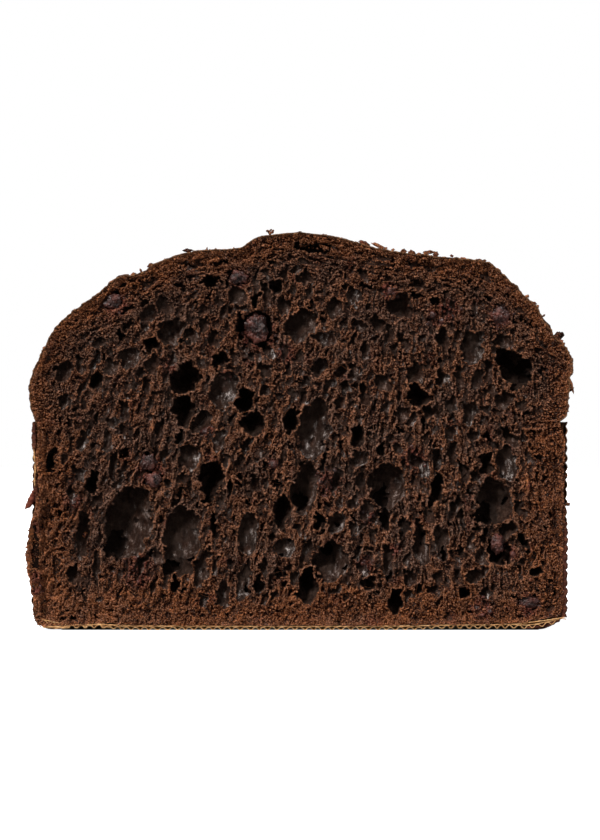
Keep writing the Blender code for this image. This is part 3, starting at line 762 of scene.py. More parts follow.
def broad_recess(x, z, inside, tone, rim):
    """How far the torn face as a whole goes back from the cut, before its cells and grain."""
    recess = 1.7 + swirls(x, z, (0.8, 15.0, 11), (0.8, 6.0, 12))
    for row in SWELLS:
        recess += row[5] * np.sqrt(hollow_of(x, z, row[:5])) * 0.9
    recess += 1.3 * np.maximum(-tone, 0) - 0.30 * rim
    return 0.35 + (recess - 0.35) * smooth(0.0, 4.5, inside)


def chocolate_stain(x, z):
    """How much melted chocolate colours the crumb."""
    stain, uneven = np.zeros(x.shape), 0.3 * swirl(x, z, 1.8, 16)
    for sx, sz, radius in STAINS:
        away = np.hypot(x - sx, z - sz) / radius + uneven
        stain = np.maximum(stain, 1 - smooth(0.45, 1.15, away))
    return np.maximum(stain, 0.5 * smooth(0.42, 0.8, swirls(x, z, (1.0, 7.0, 17), (0.3, 1.6, 18))))


def toasting(x, z, inside):
    """How warm and toasted the crumb is: most near the crust and at the foot."""
    band = 11 + 14 * (1 - smooth(62, 80, z))
    warm = 1 - smooth(0.15, 1.0, inside / band) * smooth(3.0, 18.0, z)
    return np.clip(warm + swirls(x, z, (0.45, 9.0, 19), (0.25, 2.5, 31)), 0, 1)


def crest_light(x, z, across, along, inside, shown, torn, tone, rim):
    """How light the crumb is, with painted light: raised parts, cell rims, the left side and the
    edges of the face lighter, the right side darker; patches, tones and sparks vary it too.
    """
    # Painted light: what stands forward is lighter, what lies back is darker.
    fine, broad = blurred(shown, 0.5) - shown, blurred(shown, 2.4) - shown
    patches = 0.14 * swirl(x, z, 9.0, 24) + 0.14 * swirl(across, along / 1.6, 3.8, 30)
    # Painted highlight: the rims of cells a little lighter; the given tones lighten or darken.
    patches += 0.30 * tone + 0.16 * rim
    # Painted light: the left side lighter and the right side darker.
    patches += (0.16 * smooth(-84, -90, x) - 0.16 * smooth(84, 90, x)) * (1 - smooth(72, 84, z))
    # Painted light: lighter near the edges of the face, most at the upper left.
    patches += (0.08 + 0.16 * smooth(-20, -50, x) * smooth(76, 90, z)) * (1 - smooth(0.8, 3.6, inside))
    sparks = 0.36 * (np.random.default_rng(SEED + 12).random(x.shape) > 0.91) * torn
    # Painted light: a lit line along the left rim.
    left_rim = smooth(-92.4, -93.2, x) * (1 - smooth(0.3, 0.9, inside)) * (1 - smooth(56, 64, z))
    return np.clip(0.39 + 0.44 * fine + 0.14 * broad + patches + sparks + 0.6 * left_rim, 0, 1)


def face_field():
    """The torn face as arrays over a grid: how far back it lies, and the values that its finish reads."""
    columns, rows = np.arange(-96.3, 96.4, FACE_STEP), np.arange(1.0, 140.2, FACE_STEP)
    x, z = np.meshgrid(columns, rows)
    inside = from_outline(x.ravel(), z.ravel())[0].reshape(x.shape)
    wavy_x = x + swirls(x, z, (1.5, 5.2, 1), (1.05, 2.3, 2), (0.46, 1.0, 3))
    wavy_z = z + swirls(x, z, (1.5, 5.2, 4), (1.05, 2.3, 5), (0.46, 1.0, 6))

    named = named_cells()
    cells = named + scattered_cells(named)
    nearest, second, which = cell_edges(wavy_x, wavy_z, cells, rows, columns)
    (cell_x, cell_z, half_width, half_height, lean, growth,
     hollow, roundness, deep, gloss_and_glint) = np.array(cells).T[:, which]
    narrow = np.minimum(half_width, half_height)

    # The bowls of the cells, frayed at their edges and deeper towards their upper left.
    wall = WALL_THICK * (1 + 0.7 * swirl(x, z, 1.9, 7))
    calm = 1 - 0.45 * smooth(1.4, 3.0, narrow)
    frayed = calm * swirls(x, z, (0.20 + 0.22 * deep, 0.9, 25), (0.15 + 0.15 * deep, 0.5, 26))
    within = np.minimum(-nearest, (second - nearest) / 2 - wall / 2)
    within += frayed * (1 - smooth(0.5, 1.6, -nearest))
    share = np.clip(within / (roundness * (narrow + growth)), 0, 1)
    bowl = hollow * np.sqrt(1 - (1 - share) ** 2)
    right_side = np.clip(((x - cell_x) * 0.8 - (z - cell_z) * 0.5) / half_width, -1, 1)
    bowl *= 1 + 0.15 * np.sin(which * 2.4) - (0.30 + 0.12 * np.cos(which * 1.7)) * right_side
    big = smooth(1.2, 3.4, narrow) * smooth(0.0, 0.8, within)
    folds_x, folds_z = leaning(lean, x, z)
    bowl += big * (0.8 * swirl(folds_x, folds_z / 2.6, 3.4, 8) + 0.35 * swirl(folds_x, folds_z / 2.4, 1.5, 9)
                   + 0.10 * swirl(x, z, 0.7, 10))
    hole = holes_behind(wavy_x, wavy_z)
    bowl = np.where(within > 0.15, np.maximum(bowl, 0), 0)
    bowl = np.where(hole > 0, np.maximum(bowl, 0.6 * bowl + hole), bowl)

    # The skin that lines them, with a film lightened and glints painted where light falls on their
    # lower right, and the torn crumb between them with its clefts.
    tone = tone_at(wavy_x, wavy_z)
    film_and_lit_side = smooth(-0.05, 0.55, right_side + 0.6 * swirl(folds_x, folds_z / 2.0, 2.6, 28)) * (1 - deep)
    glint = smooth(-0.2, 0.5, right_side + 0.5 * swirl(folds_x, folds_z / 2.0, 1.9, 29)) * gloss_and_glint
    film_and_lit_side, glint = np.clip(film_and_lit_side + 0.8 * tone, 0, 1), np.clip(glint + 0.9 * tone, 0, 1)
    film_and_lit_side = np.where(within > 0.1, film_and_lit_side, smooth(-0.35, 0.35, swirl(x, z, 4.2, 64) + tone))
    glint = np.where(within > 0.1, glint, 0.8 * smooth(0.30, 0.55, swirl(x, z, 3.1, 65)))
    rim = np.exp(-((within - 0.05) / 0.22) ** 2) * smooth(1.0, 2.2, narrow)
    torn = 1 - smooth(0.15, 0.9, bowl) * (0.5 + 0.5 * smooth(0.6, 1.5, narrow))
    across, along, flow = crumb_flow(x, z, inside)
    ridge = (swirl(flow, along / 3.4, 2.3, 62) + 0.55 * swirl(flow, along / 2.8, 1.15, 63)
             + 0.22 * swirl(x, z, 0.7, 66))
    valley = smooth(0.02, 0.50, ridge) * smooth(0.8, 3.0, inside) * smooth(2.0, 8.0, z)
    valley *= torn * (1 - 0.6 * (1 - smooth(6, 18, inside)) * (1 - smooth(62, 80, z)))
    torn = torn * (1 - 0.80 * valley)

    # How far back everything lies; over the case's edge the face stays near the cut.
    rough = crumb_relief(x, z, across, along, flow) * (0.10 + 0.90 * torn)
    rough *= 1 - 0.95 * big * (1 - 0.5 * deep)
    detail = rough * (0.75 + 0.25 * smooth(0.5, 3.0, inside)) + 0.7 * valley
    recess = broad_recess(x, z, inside, tone, rim)
    over_case = smooth(90.2, 91.6, np.abs(x)) * (1 - smooth(73, 75, z))
    recess += (np.minimum(recess, 0.7) - recess) * over_case + detail
    bowl *= smooth(0.3, 0.8, inside)
    deepest = SLAB_BACK - 1.0
    depth = np.clip(recess + bowl, 0.05, deepest + (CASE_SET_BACK - 0.4 - deepest) * over_case)

    # Painted shade: deep cells, the holes behind the face and the darkest tones are painted towards black.
    solid = 0.68 + 0.32 * smooth(1.2, 2.2, narrow)
    shade = solid * deep * smooth(0.30, 0.9, share) + smooth(0.3, 2.0, hole) + 0.6 * smooth(0.4, 1.1, -tone)
    crest = crest_light(x, z, across, along, inside, detail + 0.4 * bowl, torn, tone, rim)
    return {"columns": columns, "rows": rows, "cells": named, "inside": inside, "depth": depth, "torn": torn,
            "crest": crest, "warm": toasting(x, z, inside), "stain": chocolate_stain(x, z),
            "shade": np.clip(shade, 0, 1), "gloss_and_glint": glint * (1 - torn), "film_and_lit_side": film_and_lit_side * (1 - torn)}


def blurred(values, reach):
    """Each value averaged with those around it, twice, up to `reach` away."""
    steps = max(1, round(reach / FACE_STEP))
    for axis in (0, 1, 0, 1):
        padded = np.pad(values, [(steps + 1, steps) if k == axis else (0, 0) for k in (0, 1)], mode="edge")
        total = np.cumsum(padded, axis=axis)
        count = 2 * steps + 1
        high = np.take(total, range(count, total.shape[axis]), axis=axis)
        low = np.take(total, range(0, total.shape[axis] - count), axis=axis)
        values = (high - low) / count
    return values


# ================================================================ finishes

class Nodes:
    """Short ways to add shader nodes to one material."""

    def __init__(self, name):
        self.material = bpy.data.materials.new(name)
        self.material.use_nodes = True
        self.tree = self.material.node_tree
        self.shader = self.tree.nodes["Principled BSDF"]
        self.coordinates = self.add("ShaderNodeTexCoord").outputs["Object"]

    def add(self, kind, inputs=None, **settings):
        """A node of some kind, its inputs linked or set."""
        node = self.tree.nodes.new(kind)
        for key, value in settings.items():
            setattr(node, key, value)
        for key, value in (inputs or {}).items():
            if hasattr(value, "links"):
                self.tree.links.new(value, node.inputs[key])
            else:
                node.inputs[key].default_value = value
        return node

    def noise(self, scale, detail=3.0, roughness=0.55, distortion=0.0, where=None):
        """Unevenness that repeats nowhere, about `scale` times a metre."""
        inputs = {"Vector": where or self.coordinates, "Scale": scale, "Detail": detail,
                  "Roughness": roughness, "Distortion": distortion}
        return self.add("ShaderNodeTexNoise", inputs).outputs["Fac"]

    def stretched(self, x, y, z):
        """Coordinates squeezed along each axis, for streaks."""
        inputs = {"Vector": self.coordinates, "Scale": (x, y, z)}
        return self.add("ShaderNodeMapping", inputs).outputs["Vector"]

    def value(self, name):
        """One of the values stored on the mesh."""
        return self.add("ShaderNodeAttribute", attribute_name=name).outputs["Fac"]

    def ramp(self, factor, *stops):
        """A colour for each place of a value, eased between the stops."""
        made = self.add("ShaderNodeValToRGB", {"Fac": factor})
        elements = made.color_ramp.elements
        while len(elements) < len(stops):
            elements.new(0.5)
        for element, (place, colour) in zip(elements, stops):
            element.position = place
            element.color = (*colour, 1.0)
        return made.outputs["Color"]

    def spread(self, factor, low, high, to_low=0.0, to_high=1.0):
        """A value moved from one range to another, and held at its ends."""
        inputs = {"Value": factor, "From Min": low, "From Max": high, "To Min": to_low, "To Max": to_high}
        return self.add("ShaderNodeMapRange", inputs).outputs["Result"]

    def sum(self, operation, first, second):
        """Two values added, multiplied or otherwise put together."""
        return self.add("ShaderNodeMath", {0: first, 1: second}, operation=operation).outputs["Value"]

    def stirred(self, value, grain, low, high):
        """A value made uneven by a noise, by `low` where that is weak and `high` where it is strong."""
        return self.sum("ADD", value, self.spread(grain, 0.36, 0.64, low, high))

    def mix(self, factor, first, second):
        """The first colour at 0 and the second at 1."""
        made = self.add("ShaderNodeMix", {"Factor": factor}, data_type="RGBA")
        for key, value in ((6, first), (7, second)):
            if hasattr(value, "links"):
                self.tree.links.new(value, made.inputs[key])
            else:
                made.inputs[key].default_value = (*value, 1.0)
        return made.outputs[2]

    def bump(self, height, distance, strength=1.0, under=None):
        """Fine relief in the finish, on top of another one's."""
        inputs = {"Height": height, "Distance": distance, "Strength": strength}
        if under:
            inputs["Normal"] = under
        return self.add("ShaderNodeBump", inputs).outputs["Normal"]

    def finish(self, **sockets):
        """Links or sets the shader's sockets, and gives the finished material."""
        for key, value in sockets.items():
            socket = self.shader.inputs[key.replace("_", " ")]
            if hasattr(value, "links"):
                self.tree.links.new(value, socket)
            elif isinstance(value, tuple):
                socket.default_value = (*value, 1.0)
            else:
                socket.default_value = value
        return self.material


def crumb_finish():
    """Torn matt crumb on the crests, smooth dark glossy skin in cells, painted highlights and shade."""
    n = Nodes("torn_crumb")
    torn, crest, warm, stain = n.value("torn"), n.value("crest"), n.value("warm"), n.value("stain")
    shade, gloss_and_glint, film_and_lit_side = n.value("shade"), n.value("gloss_and_glint"), n.value("film_and_lit_side")
    grain = n.noise(1800, 4.0, 0.75)
    patch = n.noise(260, 3.0, 0.6)
    fleck = n.noise(3200, 2.0, 0.6)
    tone = n.stirred(n.stirred(crest, grain, -0.22, 0.23), fleck, -0.31, 0.38)
    plain = n.ramp(tone, (0.12, (0.015, 0.0053, 0.0031)), (0.40, (0.043, 0.0138, 0.0070)),
                   (0.66, (0.126, 0.0425, 0.0205)), (0.92, (0.46, 0.205, 0.110)))
    toasted = n.ramp(tone, (0.12, (0.015, 0.0044, 0.0019)), (0.40, (0.068, 0.0180, 0.0055)),
                     (0.66, (0.192, 0.056, 0.0178)), (0.92, (0.54, 0.200, 0.080)))
    stained = n.ramp(tone, (0.12, (0.008, 0.0014, 0.0009)), (0.40, (0.044, 0.0082, 0.0050)),
                     (0.66, (0.120, 0.0250, 0.0155)), (0.98, (0.30, 0.095, 0.070)))
    dusky = n.ramp(tone, (0.12, (0.013, 0.0056, 0.0040)), (0.40, (0.029, 0.0120, 0.0078)),
                   (0.66, (0.082, 0.0340, 0.0205)), (0.92, (0.34, 0.180, 0.120)))
    zone = n.sum("ADD", n.noise(75, 3.0, 0.6), n.spread(n.noise(240, 2.0, 0.5), 0.3, 0.7, -0.10, 0.10))
    plain = n.mix(n.spread(zone, 0.42, 0.56), dusky, plain)
    colour = n.mix(n.sum("MULTIPLY", warm, n.spread(patch, 0.35, 0.65, 0.5, 1.0)), plain, toasted)
    colour = n.mix(n.sum("MULTIPLY", stain, n.spread(patch, 0.35, 0.6, 0.35, 1.0)), colour, stained)
    streak = n.noise(620, 4.0, 0.65, 0.0, n.stretched(1.0, 1.0, 0.42))
    skin = n.ramp(n.stirred(patch, streak, -0.06, 0.06), (0.34, (0.0125, 0.0060, 0.0041)),
                  (0.5, (0.0205, 0.0118, 0.0085)), (0.66, (0.036, 0.0220, 0.0162)))
    # Painted light: a lighter brown film where light falls on the lower right of the cells.
    lit_brown_film = n.ramp(n.stirred(streak, fleck, -0.07, 0.09), (0.34, (0.011, 0.0042, 0.0024)),
                        (0.48, (0.032, 0.0135, 0.0078)), (0.61, (0.066, 0.0305, 0.0195)),
                        (0.72, (0.24, 0.150, 0.115)))
    # Painted glints: near-white streaks on the glossy skin.
    skin_painted_glints = n.ramp(n.stirred(streak, fleck, -0.09, 0.11), (0.36, (0.013, 0.0070, 0.0050)),
                        (0.50, (0.032, 0.0205, 0.0162)), (0.60, (0.090, 0.069, 0.060)),
                        (0.68, (0.50, 0.45, 0.43)))
    skin = n.mix(n.sum("MULTIPLY", film_and_lit_side, n.spread(patch, 0.36, 0.54, 0.45, 1.0)), skin, lit_brown_film)
    skin = n.mix(n.sum("MULTIPLY", gloss_and_glint, n.spread(patch, 0.38, 0.48)), skin, skin_painted_glints)
    # Painted highlights: small pale grey specks over the crumb.
    colour = n.mix(n.spread(n.noise(3300, 2.0, 0.6), 0.61, 0.67, 0.0, 0.6), colour, (0.42, 0.33, 0.29))
    torn_edge = n.spread(n.stirred(torn, grain, -0.35, 0.35), 0.25, 0.75)
    colour = n.mix(torn_edge, skin, colour)
    # Painted shade: near black where the field's shade is strong.
    colour = n.mix(n.spread(shade, 0.0, 1.0, 0.0, 0.96), colour, (0.0052, 0.0024, 0.0015))
    rough = n.spread(n.sum("ADD", torn_edge, n.spread(fleck, 0.35, 0.65, -0.25, 0.25)), 0.0, 1.0, 0.42, 0.90)
    rough = n.sum("SUBTRACT", rough, n.spread(gloss_and_glint, 0.0, 1.0, 0.0, 0.10))
    rough = n.sum("MAXIMUM", rough, shade)
    normal = n.bump(fleck, 0.0005, 0.7, n.bump(grain, 0.0011, 0.7))
    return n.finish(Base_Color=colour, Roughness=rough, Normal=normal, Specular_IOR_Level=0.08)


def crust_finish():
    """Baked skin: dark brown, nearly matt, finely wrinkled, rustier in patches."""
    n = Nodes("baked_crust")
    broad = n.noise(28, 4.0, 0.6)
    mottle = n.noise(170, 5.0, 0.65)
    pits = n.noise(900, 3.0, 0.6)
    wrinkle = n.noise(95, 5.0, 0.6, 1.2)
    colour = n.ramp(mottle, (0.32, (0.026, 0.0092, 0.0045)), (0.5, (0.052, 0.0185, 0.0082)),
                    (0.62, (0.086, 0.0335, 0.0145)), (0.76, (0.140, 0.060, 0.026)))
    rusty = n.ramp(mottle, (0.32, (0.042, 0.0135, 0.0055)), (0.55, (0.090, 0.0310, 0.0115)),
                   (0.76, (0.165, 0.067, 0.026)))
    colour = n.mix(n.spread(broad, 0.42, 0.60), colour, rusty)
    colour = n.mix(n.spread(pits, 0.56, 0.68, 0.0, 0.6), colour, (0.014, 0.0052, 0.0028))
    rough = n.spread(mottle, 0.3, 0.7, 0.64, 0.82)
    normal = n.bump(wrinkle, 0.0011, 0.45)
    normal = n.bump(pits, 0.0005, 0.5, normal)
    return n.finish(Base_Color=colour, Roughness=rough, Normal=normal, Specular_IOR_Level=0.14)


def crust_edge_finish():
    """The crust where the knife went through it: a thin toasted line."""
    n = Nodes("cut_crust_edge")
    grain = n.noise(1300, 3.0, 0.6)
    colour = n.ramp(grain, (0.36, (0.022, 0.0075, 0.0030)), (0.5, (0.090, 0.034, 0.0125)),
                    (0.64, (0.26, 0.120, 0.048)))
    return n.finish(Base_Color=colour, Roughness=0.75, Normal=n.bump(grain, 0.0012, 0.8),
                    Specular_IOR_Level=0.25)


def chocolate_finish():
    """Soft chocolate: purple-brown, satin, with pale specks painted as glints."""
    n = Nodes("soft_chocolate")
    patch = n.noise(240, 4.0, 0.6)
    speck = n.noise(2100, 3.0, 0.6)
    grain = n.noise(1250, 4.0, 0.7)
    tone = n.stirred(patch, grain, -0.07, 0.07)
    colour = n.ramp(tone, (0.36, (0.008, 0.0022, 0.0018)), (0.46, (0.023, 0.0060, 0.0044)),
                    (0.56, (0.060, 0.0150, 0.0098)), (0.70, (0.14, 0.043, 0.030)))
    # Painted glints: small pale specks.
    colour = n.mix(n.spread(speck, 0.64, 0.69, 0.0, 0.6), colour, (0.30, 0.17, 0.15))
    rough = n.spread(grain, 0.40, 0.60, 0.20, 0.50)
    normal = n.bump(grain, 0.0004, 0.7, n.bump(patch, 0.0014, 0.8))
    return n.finish(Base_Color=colour, Roughness=rough, Normal=n.bump(speck, 0.0003, 0.6, normal),
                    Specular_IOR_Level=0.40)


def paper_finish(name, dark, middle, light):
    """Uncoated paper: fibres, small flecks and faint stains."""
    n = Nodes(name)
    streak = n.noise(420, 4.0, 0.6, 0.0, n.stretched(1.0, 1.0, 3.5))
    fleck = n.noise(1900, 3.0, 0.6)
    stain = n.noise(45, 3.0, 0.55)
    colour = n.ramp(streak, (0.3, dark), (0.52, middle), (0.76, light))
    colour = n.mix(n.spread(stain, 0.42, 0.7, 0.0, 0.35), colour, dark)
    colour = n.mix(n.spread(fleck, 0.62, 0.75, 0.0, 0.5), colour, light)
    rough = n.spread(fleck, 0.3, 0.7, 0.72, 0.86)
    normal = n.bump(fleck, 0.0002, 0.4, n.bump(streak, 0.0004, 0.45))
    return n.finish(Base_Color=colour, Roughness=rough, Normal=normal, Specular_IOR_Level=0.2)


# ================================================================ pieces

def skin_at(height):
    """How thick the loaf's skin is: crust above the case, hardly any inside it."""
    return FOOT_SKIN_THICK + (CRUST_THICK - FOOT_SKIN_THICK) * smooth(60, 76, np.asarray(height, float))


def face_tile(field, number, finish):
    """One upright strip of the torn face, closed behind into a slab."""
    columns, rows = field["columns"], field["rows"]
    bounds = np.linspace(0, len(columns) - 1, FACE_TILES + 1).astype(int)
    first, last = bounds[number], bounds[number + 1]
    wide, tall = last - first, len(rows) - 1
    bm = bmesh.new()
    bmesh.ops.create_grid(bm, x_segments=wide, y_segments=tall, size=1.0)

    def grid_place():
        spots = np.array([vert.co[:2] for vert in bm.verts])
        return (np.rint((spots[:, 1] + 1) / 2 * tall).astype(int),
                first + np.rint((spots[:, 0] + 1) / 2 * wide).astype(int))

    i, j = grid_place()
    inner = field["inside"][i, j] > skin_at(rows[i])
    bm.verts.index_update()
    outside = [face for face in bm.faces if not any(inner[vert.index] for vert in face.verts)]
    bmesh.ops.delete(bm, geom=outside, context="FACES")
    i, j = grid_place()
    places = np.stack([columns[j], CUT_Y + field["depth"][i, j], rows[i]], axis=1)
    rim = np.flatnonzero(field["inside"][i, j] < skin_at(rows[i]))
    _, near, facing = from_outline(columns[j[rim]], rows[i[rim]])
    fray = 0.45 * np.abs(swirl(near[:, 0], near[:, 1], 0.9, 51)) * (1 - 0.7 * smooth(66, 76, near[:, 1]))
    places[rim[:, None], (0, 2)] = near + facing * (skin_at(rows[i[rim]]) + fray)[:, None]
    layers = [(bm.verts.layers.float.new(name), field[name][i, j]) for name in FACE_VALUES]
    for index, (vert, place) in enumerate(zip(bm.verts, places.tolist())):
        vert.co = place
        for layer, numbers in layers:
            vert[layer] = numbers[index]
    border = [edge for edge in bm.edges if edge.is_boundary]
    middle = rows.mean()
    for edge in border:
        edge.smooth = False
    seams = (columns[first], columns[last])
    for back, shrink in ((LIP_BACK, LIP_SHRINK), (SLAB_BACK, SLAB_SHRINK)):
        grown = bmesh.ops.extrude_edge_only(bm, edges=border)["geom"]
        border = [item for item in grown if isinstance(item, bmesh.types.BMEdge)]
        for vert in grown:
            if isinstance(vert, bmesh.types.BMVert):
                at_seam = min(abs(vert.co.x - seam) for seam in seams) < 0.001
                vert.co.x *= 1.0 if at_seam else shrink
                vert.co.y = max(CUT_Y + back, vert.co.y + 0.2)
                vert.co.z = middle + (vert.co.z - middle) * shrink
    bmesh.ops.holes_fill(bm, edges=border)
    bmesh.ops.recalc_face_normals(bm, faces=bm.faces)
    mesh = mesh_from(bm, f"crumb_face_{number + 1}")
    replaced = ("crumb",) if number == 0 else ()
    add_piece(f"crumb_face_{number + 1}", mesh, "crumb", [finish], replaced)


def loaf_crust(finish, edge_finish):
    """The baked skin round the whole half loaf, a thin shell with its front edge at the cut."""
    profile_steps, turn_steps, foot_steps = 290, 120, 40
    left, right = curve_through(CRUST_LEFT, profile_steps), curve_through(CRUST_RIGHT, profile_steps)
    foot = np.array(LOAF_FOOT)
    foot_along = along_line(foot)
    foot_at = np.linspace(0, foot_along[-1], foot_steps)[1:]
    foot = np.stack([np.interp(foot_at, foot_along, foot[:, k]) for k in (0, 1)], axis=1)
    rings = profile_steps + len(foot)
    bm = bmesh.new()
    bmesh.ops.create_grid(bm, x_segments=turn_steps, y_segments=rings, size=1.0)
    for vert in bm.verts:
        angle = math.pi * (vert.co.x + 1) / 2
        ring = round((vert.co.y + 1) / 2 * rings)
        share = 0.5 + 0.5 * math.cos(angle)
        back = math.sin(angle)
        if ring == rings:
            radius, height = 0.0, LOAF_BOTTOM
        elif ring >= profile_steps:
            radius, height = foot[ring - profile_steps]
        else:
            radius, height = left[ring] * (1 - share) + right[ring] * share
            spot = Vector((2.2 * math.cos(angle), 2.2 * back, height / 22))
            uneven = DOME_UNEVEN * noise.noise(spot) * back
            here = Vector((radius * math.cos(angle), radius * back, height))
            ridge = noise.noise(here / 9.0) + 0.6 * noise.noise(here / 4.0)
            ridge -= 1.4 * abs(noise.noise(here / 6.0))
            uneven += 0.45 * ridge * smooth(0.02, 0.12, back)
            uneven += float(ragged(here.x, height)) * (1 - float(smooth(0.0, 0.06, back)))
            radius += uneven * min(1, radius / 40)
            height += 0.8 * uneven
        hidden = 2.0 * (1 - float(smooth(68, 74, height)))
        vert.co = (radius * math.cos(angle), CUT_Y + hidden + (radius - hidden) * back, height)
    bmesh.ops.remove_doubles(bm, verts=bm.verts, dist=0.001)
    bmesh.ops.recalc_face_normals(bm, faces=bm.faces)
    heights = [vert.co.z for vert in bm.verts]
    mesh = mesh_from(bm, "loaf_crust")
    made = add_piece("loaf_crust", mesh, "crumb", [finish, edge_finish])
    turn_outward(mesh, Vector((0, 0, 0.06)))
    thin = made.vertex_groups.new(name="skin")
    for number, height in enumerate(heights):
        thin.add([number], float(skin_at(height)) / CRUST_THICK, "REPLACE")
    shell = thicken(made, CRUST_THICK * 1.15, 1)
    shell.vertex_group = "skin"
    shell.thickness_vertex_group = 0.0


def turn_outward(mesh, inside):
    """Turns an open shell's faces so that they look away from a point inside it."""
    normals = np.empty(len(mesh.polygons) * 3)
    centres = np.empty(len(mesh.polygons) * 3)
    mesh.polygons.foreach_get("normal", normals)
    mesh.polygons.foreach_get("center", centres)
    away = centres.reshape(-1, 3) - np.array(inside)
    if (normals.reshape(-1, 3) * away).sum() < 0:
        mesh.flip_normals()


def chocolate_pieces(finish):
    """Each piece of chocolate of the model, as a lumpy body with broken facets."""
    for number, name in enumerate(CHOCOLATE_NODES):
        low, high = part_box(name)
        middle, half = (low + high) / 2 / MM, (high - low) / 2 / MM
        bm = bmesh.new()
        bmesh.ops.create_icosphere(bm, subdivisions=5, radius=1.0)
        shift = Vector((3.7 * number, 1.3 * number, 0))
        for vert in bm.verts:
            away = vert.co.normalized()
            broad = noise.noise(away * 1.5 + shift) + 0.7 * abs(noise.noise(away * 2.6 + shift))
            fine = 0.34 * abs(noise.noise(away * 4.0 + shift)) + 0.14 * noise.noise(away * 11 + shift)
            reach = (0.86 if half.x > 4 else 0.92) + 0.34 * broad - fine
            deep = 0.92 if half.x > 4 else 0.78
            vert.co = middle + Vector((away.x * half.x, away.y * half.y * deep, away.z * half.z)) * reach
        add_piece(f"soft_{name}", mesh_from(bm, f"soft_{name}"), "chocolate", [finish], (name,))


def small_chocolate(field, finish):
    """Smears and beads of chocolate where the crumb is stained."""
    rng = np.random.default_rng(SEED + 3)
    spots = list(SMEARS)
    for sx, sz, radius in STAINS:
        for _ in range(int(radius * 2)):
            angle, away = rng.uniform(0, 2 * math.pi), radius * math.sqrt(rng.random())
            spots.append((sx + away * math.cos(angle), sz + away * math.sin(angle), rng.uniform(0.3, 0.75)))
    places = []
    for x, z, radius in spots:
        depth = face_depth(field, x, z)
        if depth is None:
            continue
        spin = turned(rng)
        shape = radius * np.array([rng.uniform(0.8, 1.2), rng.uniform(0.6, 0.9), rng.uniform(0.8, 1.2)])
        places.append(copy_at(spin * shape, (x, CUT_Y + depth + 0.15 * radius, z)))
    mesh = joined_copies("chocolate_beads", small_lump(0.5, 5.0), places)
    add_piece("chocolate_beads", mesh, "chocolate", [finish])


def face_depth(field, x, z, value="depth"):
    """How far behind the cut the torn face lies at a place, or another of its values; None off the face."""
    j = int(round((x - field["columns"][0]) / FACE_STEP))
    i = int(round((z - field["rows"][0]) / FACE_STEP))
    if not (0 <= i < len(field["rows"]) and 0 <= j < len(field["columns"])) or field["inside"][i, j] < 0.6:
        return None
    return field[value][i, j]


def crumb_values(crest, warm, stain):
    """What the crumb's finish reads on loose crumbs: they are all torn, with no skin of a cell on them."""
    nothing = np.zeros(len(crest))
    return {"torn": nothing + 1.0, "crest": crest, "warm": np.asarray(warm), "stain": stain,
            "shade": nothing, "gloss_and_glint": nothing, "film_and_lit_side": nothing}


def crumb_grains(field, finish):
    """Loose and half-loose crumbs on the torn crests."""
    rng = np.random.default_rng(SEED + 5)
    chance = field["torn"] * (field["crest"] > 0.45) * (field["inside"] > 0.8) * (0.25 + field["warm"])
    chance = (chance / chance.sum()).ravel()
    picks = rng.choice(chance.size, size=GRAINS, replace=False, p=chance)
    i, j = np.unravel_index(picks, field["depth"].shape)
    sizes = rng.lognormal(math.log(GRAIN_SIZE), 0.38, GRAINS).clip(0.09, 0.5)
    places = []
    for row, column, size in zip(i, j, sizes):
        x = field["columns"][column] + rng.uniform(-0.12, 0.12)
        z = field["rows"][row] + rng.uniform(-0.12, 0.12)
        y = CUT_Y + field["depth"][row, column] - 0.25 * size
        spin = turned(rng)
        places.append(copy_at(size * rng.uniform(0.5, 1.7, 3)[:, None] * spin, (x, y, z)))
    values = crumb_values(rng.uniform(0.40, 1.0, GRAINS), field["warm"][i, j], field["stain"][i, j])
    grain = bmesh.new()
    bmesh.ops.create_cone(grain, cap_ends=True, segments=3, radius1=1.0, radius2=0.0, depth=1.6)
    add_piece("crumb_grains", joined_copies("crumb_grains", grain, places, values), "crumb", [finish])


def unit_tube():
    """A closed tube of a few faces, one across and one long, for the strands of crumb."""
    tube = bmesh.new()
    bmesh.ops.create_grid(tube, x_segments=4, y_segments=6, size=1.0)
    for vert in tube.verts:
        angle = math.pi * (vert.co.x + 1)
        vert.co = (math.cos(angle), math.sin(angle), (vert.co.y + 1) / 2)
    bmesh.ops.remove_doubles(tube, verts=tube.verts, dist=0.001)
    bmesh.ops.holes_fill(tube, edges=tube.edges)
    bmesh.ops.recalc_face_normals(tube, faces=tube.faces)
    return tube


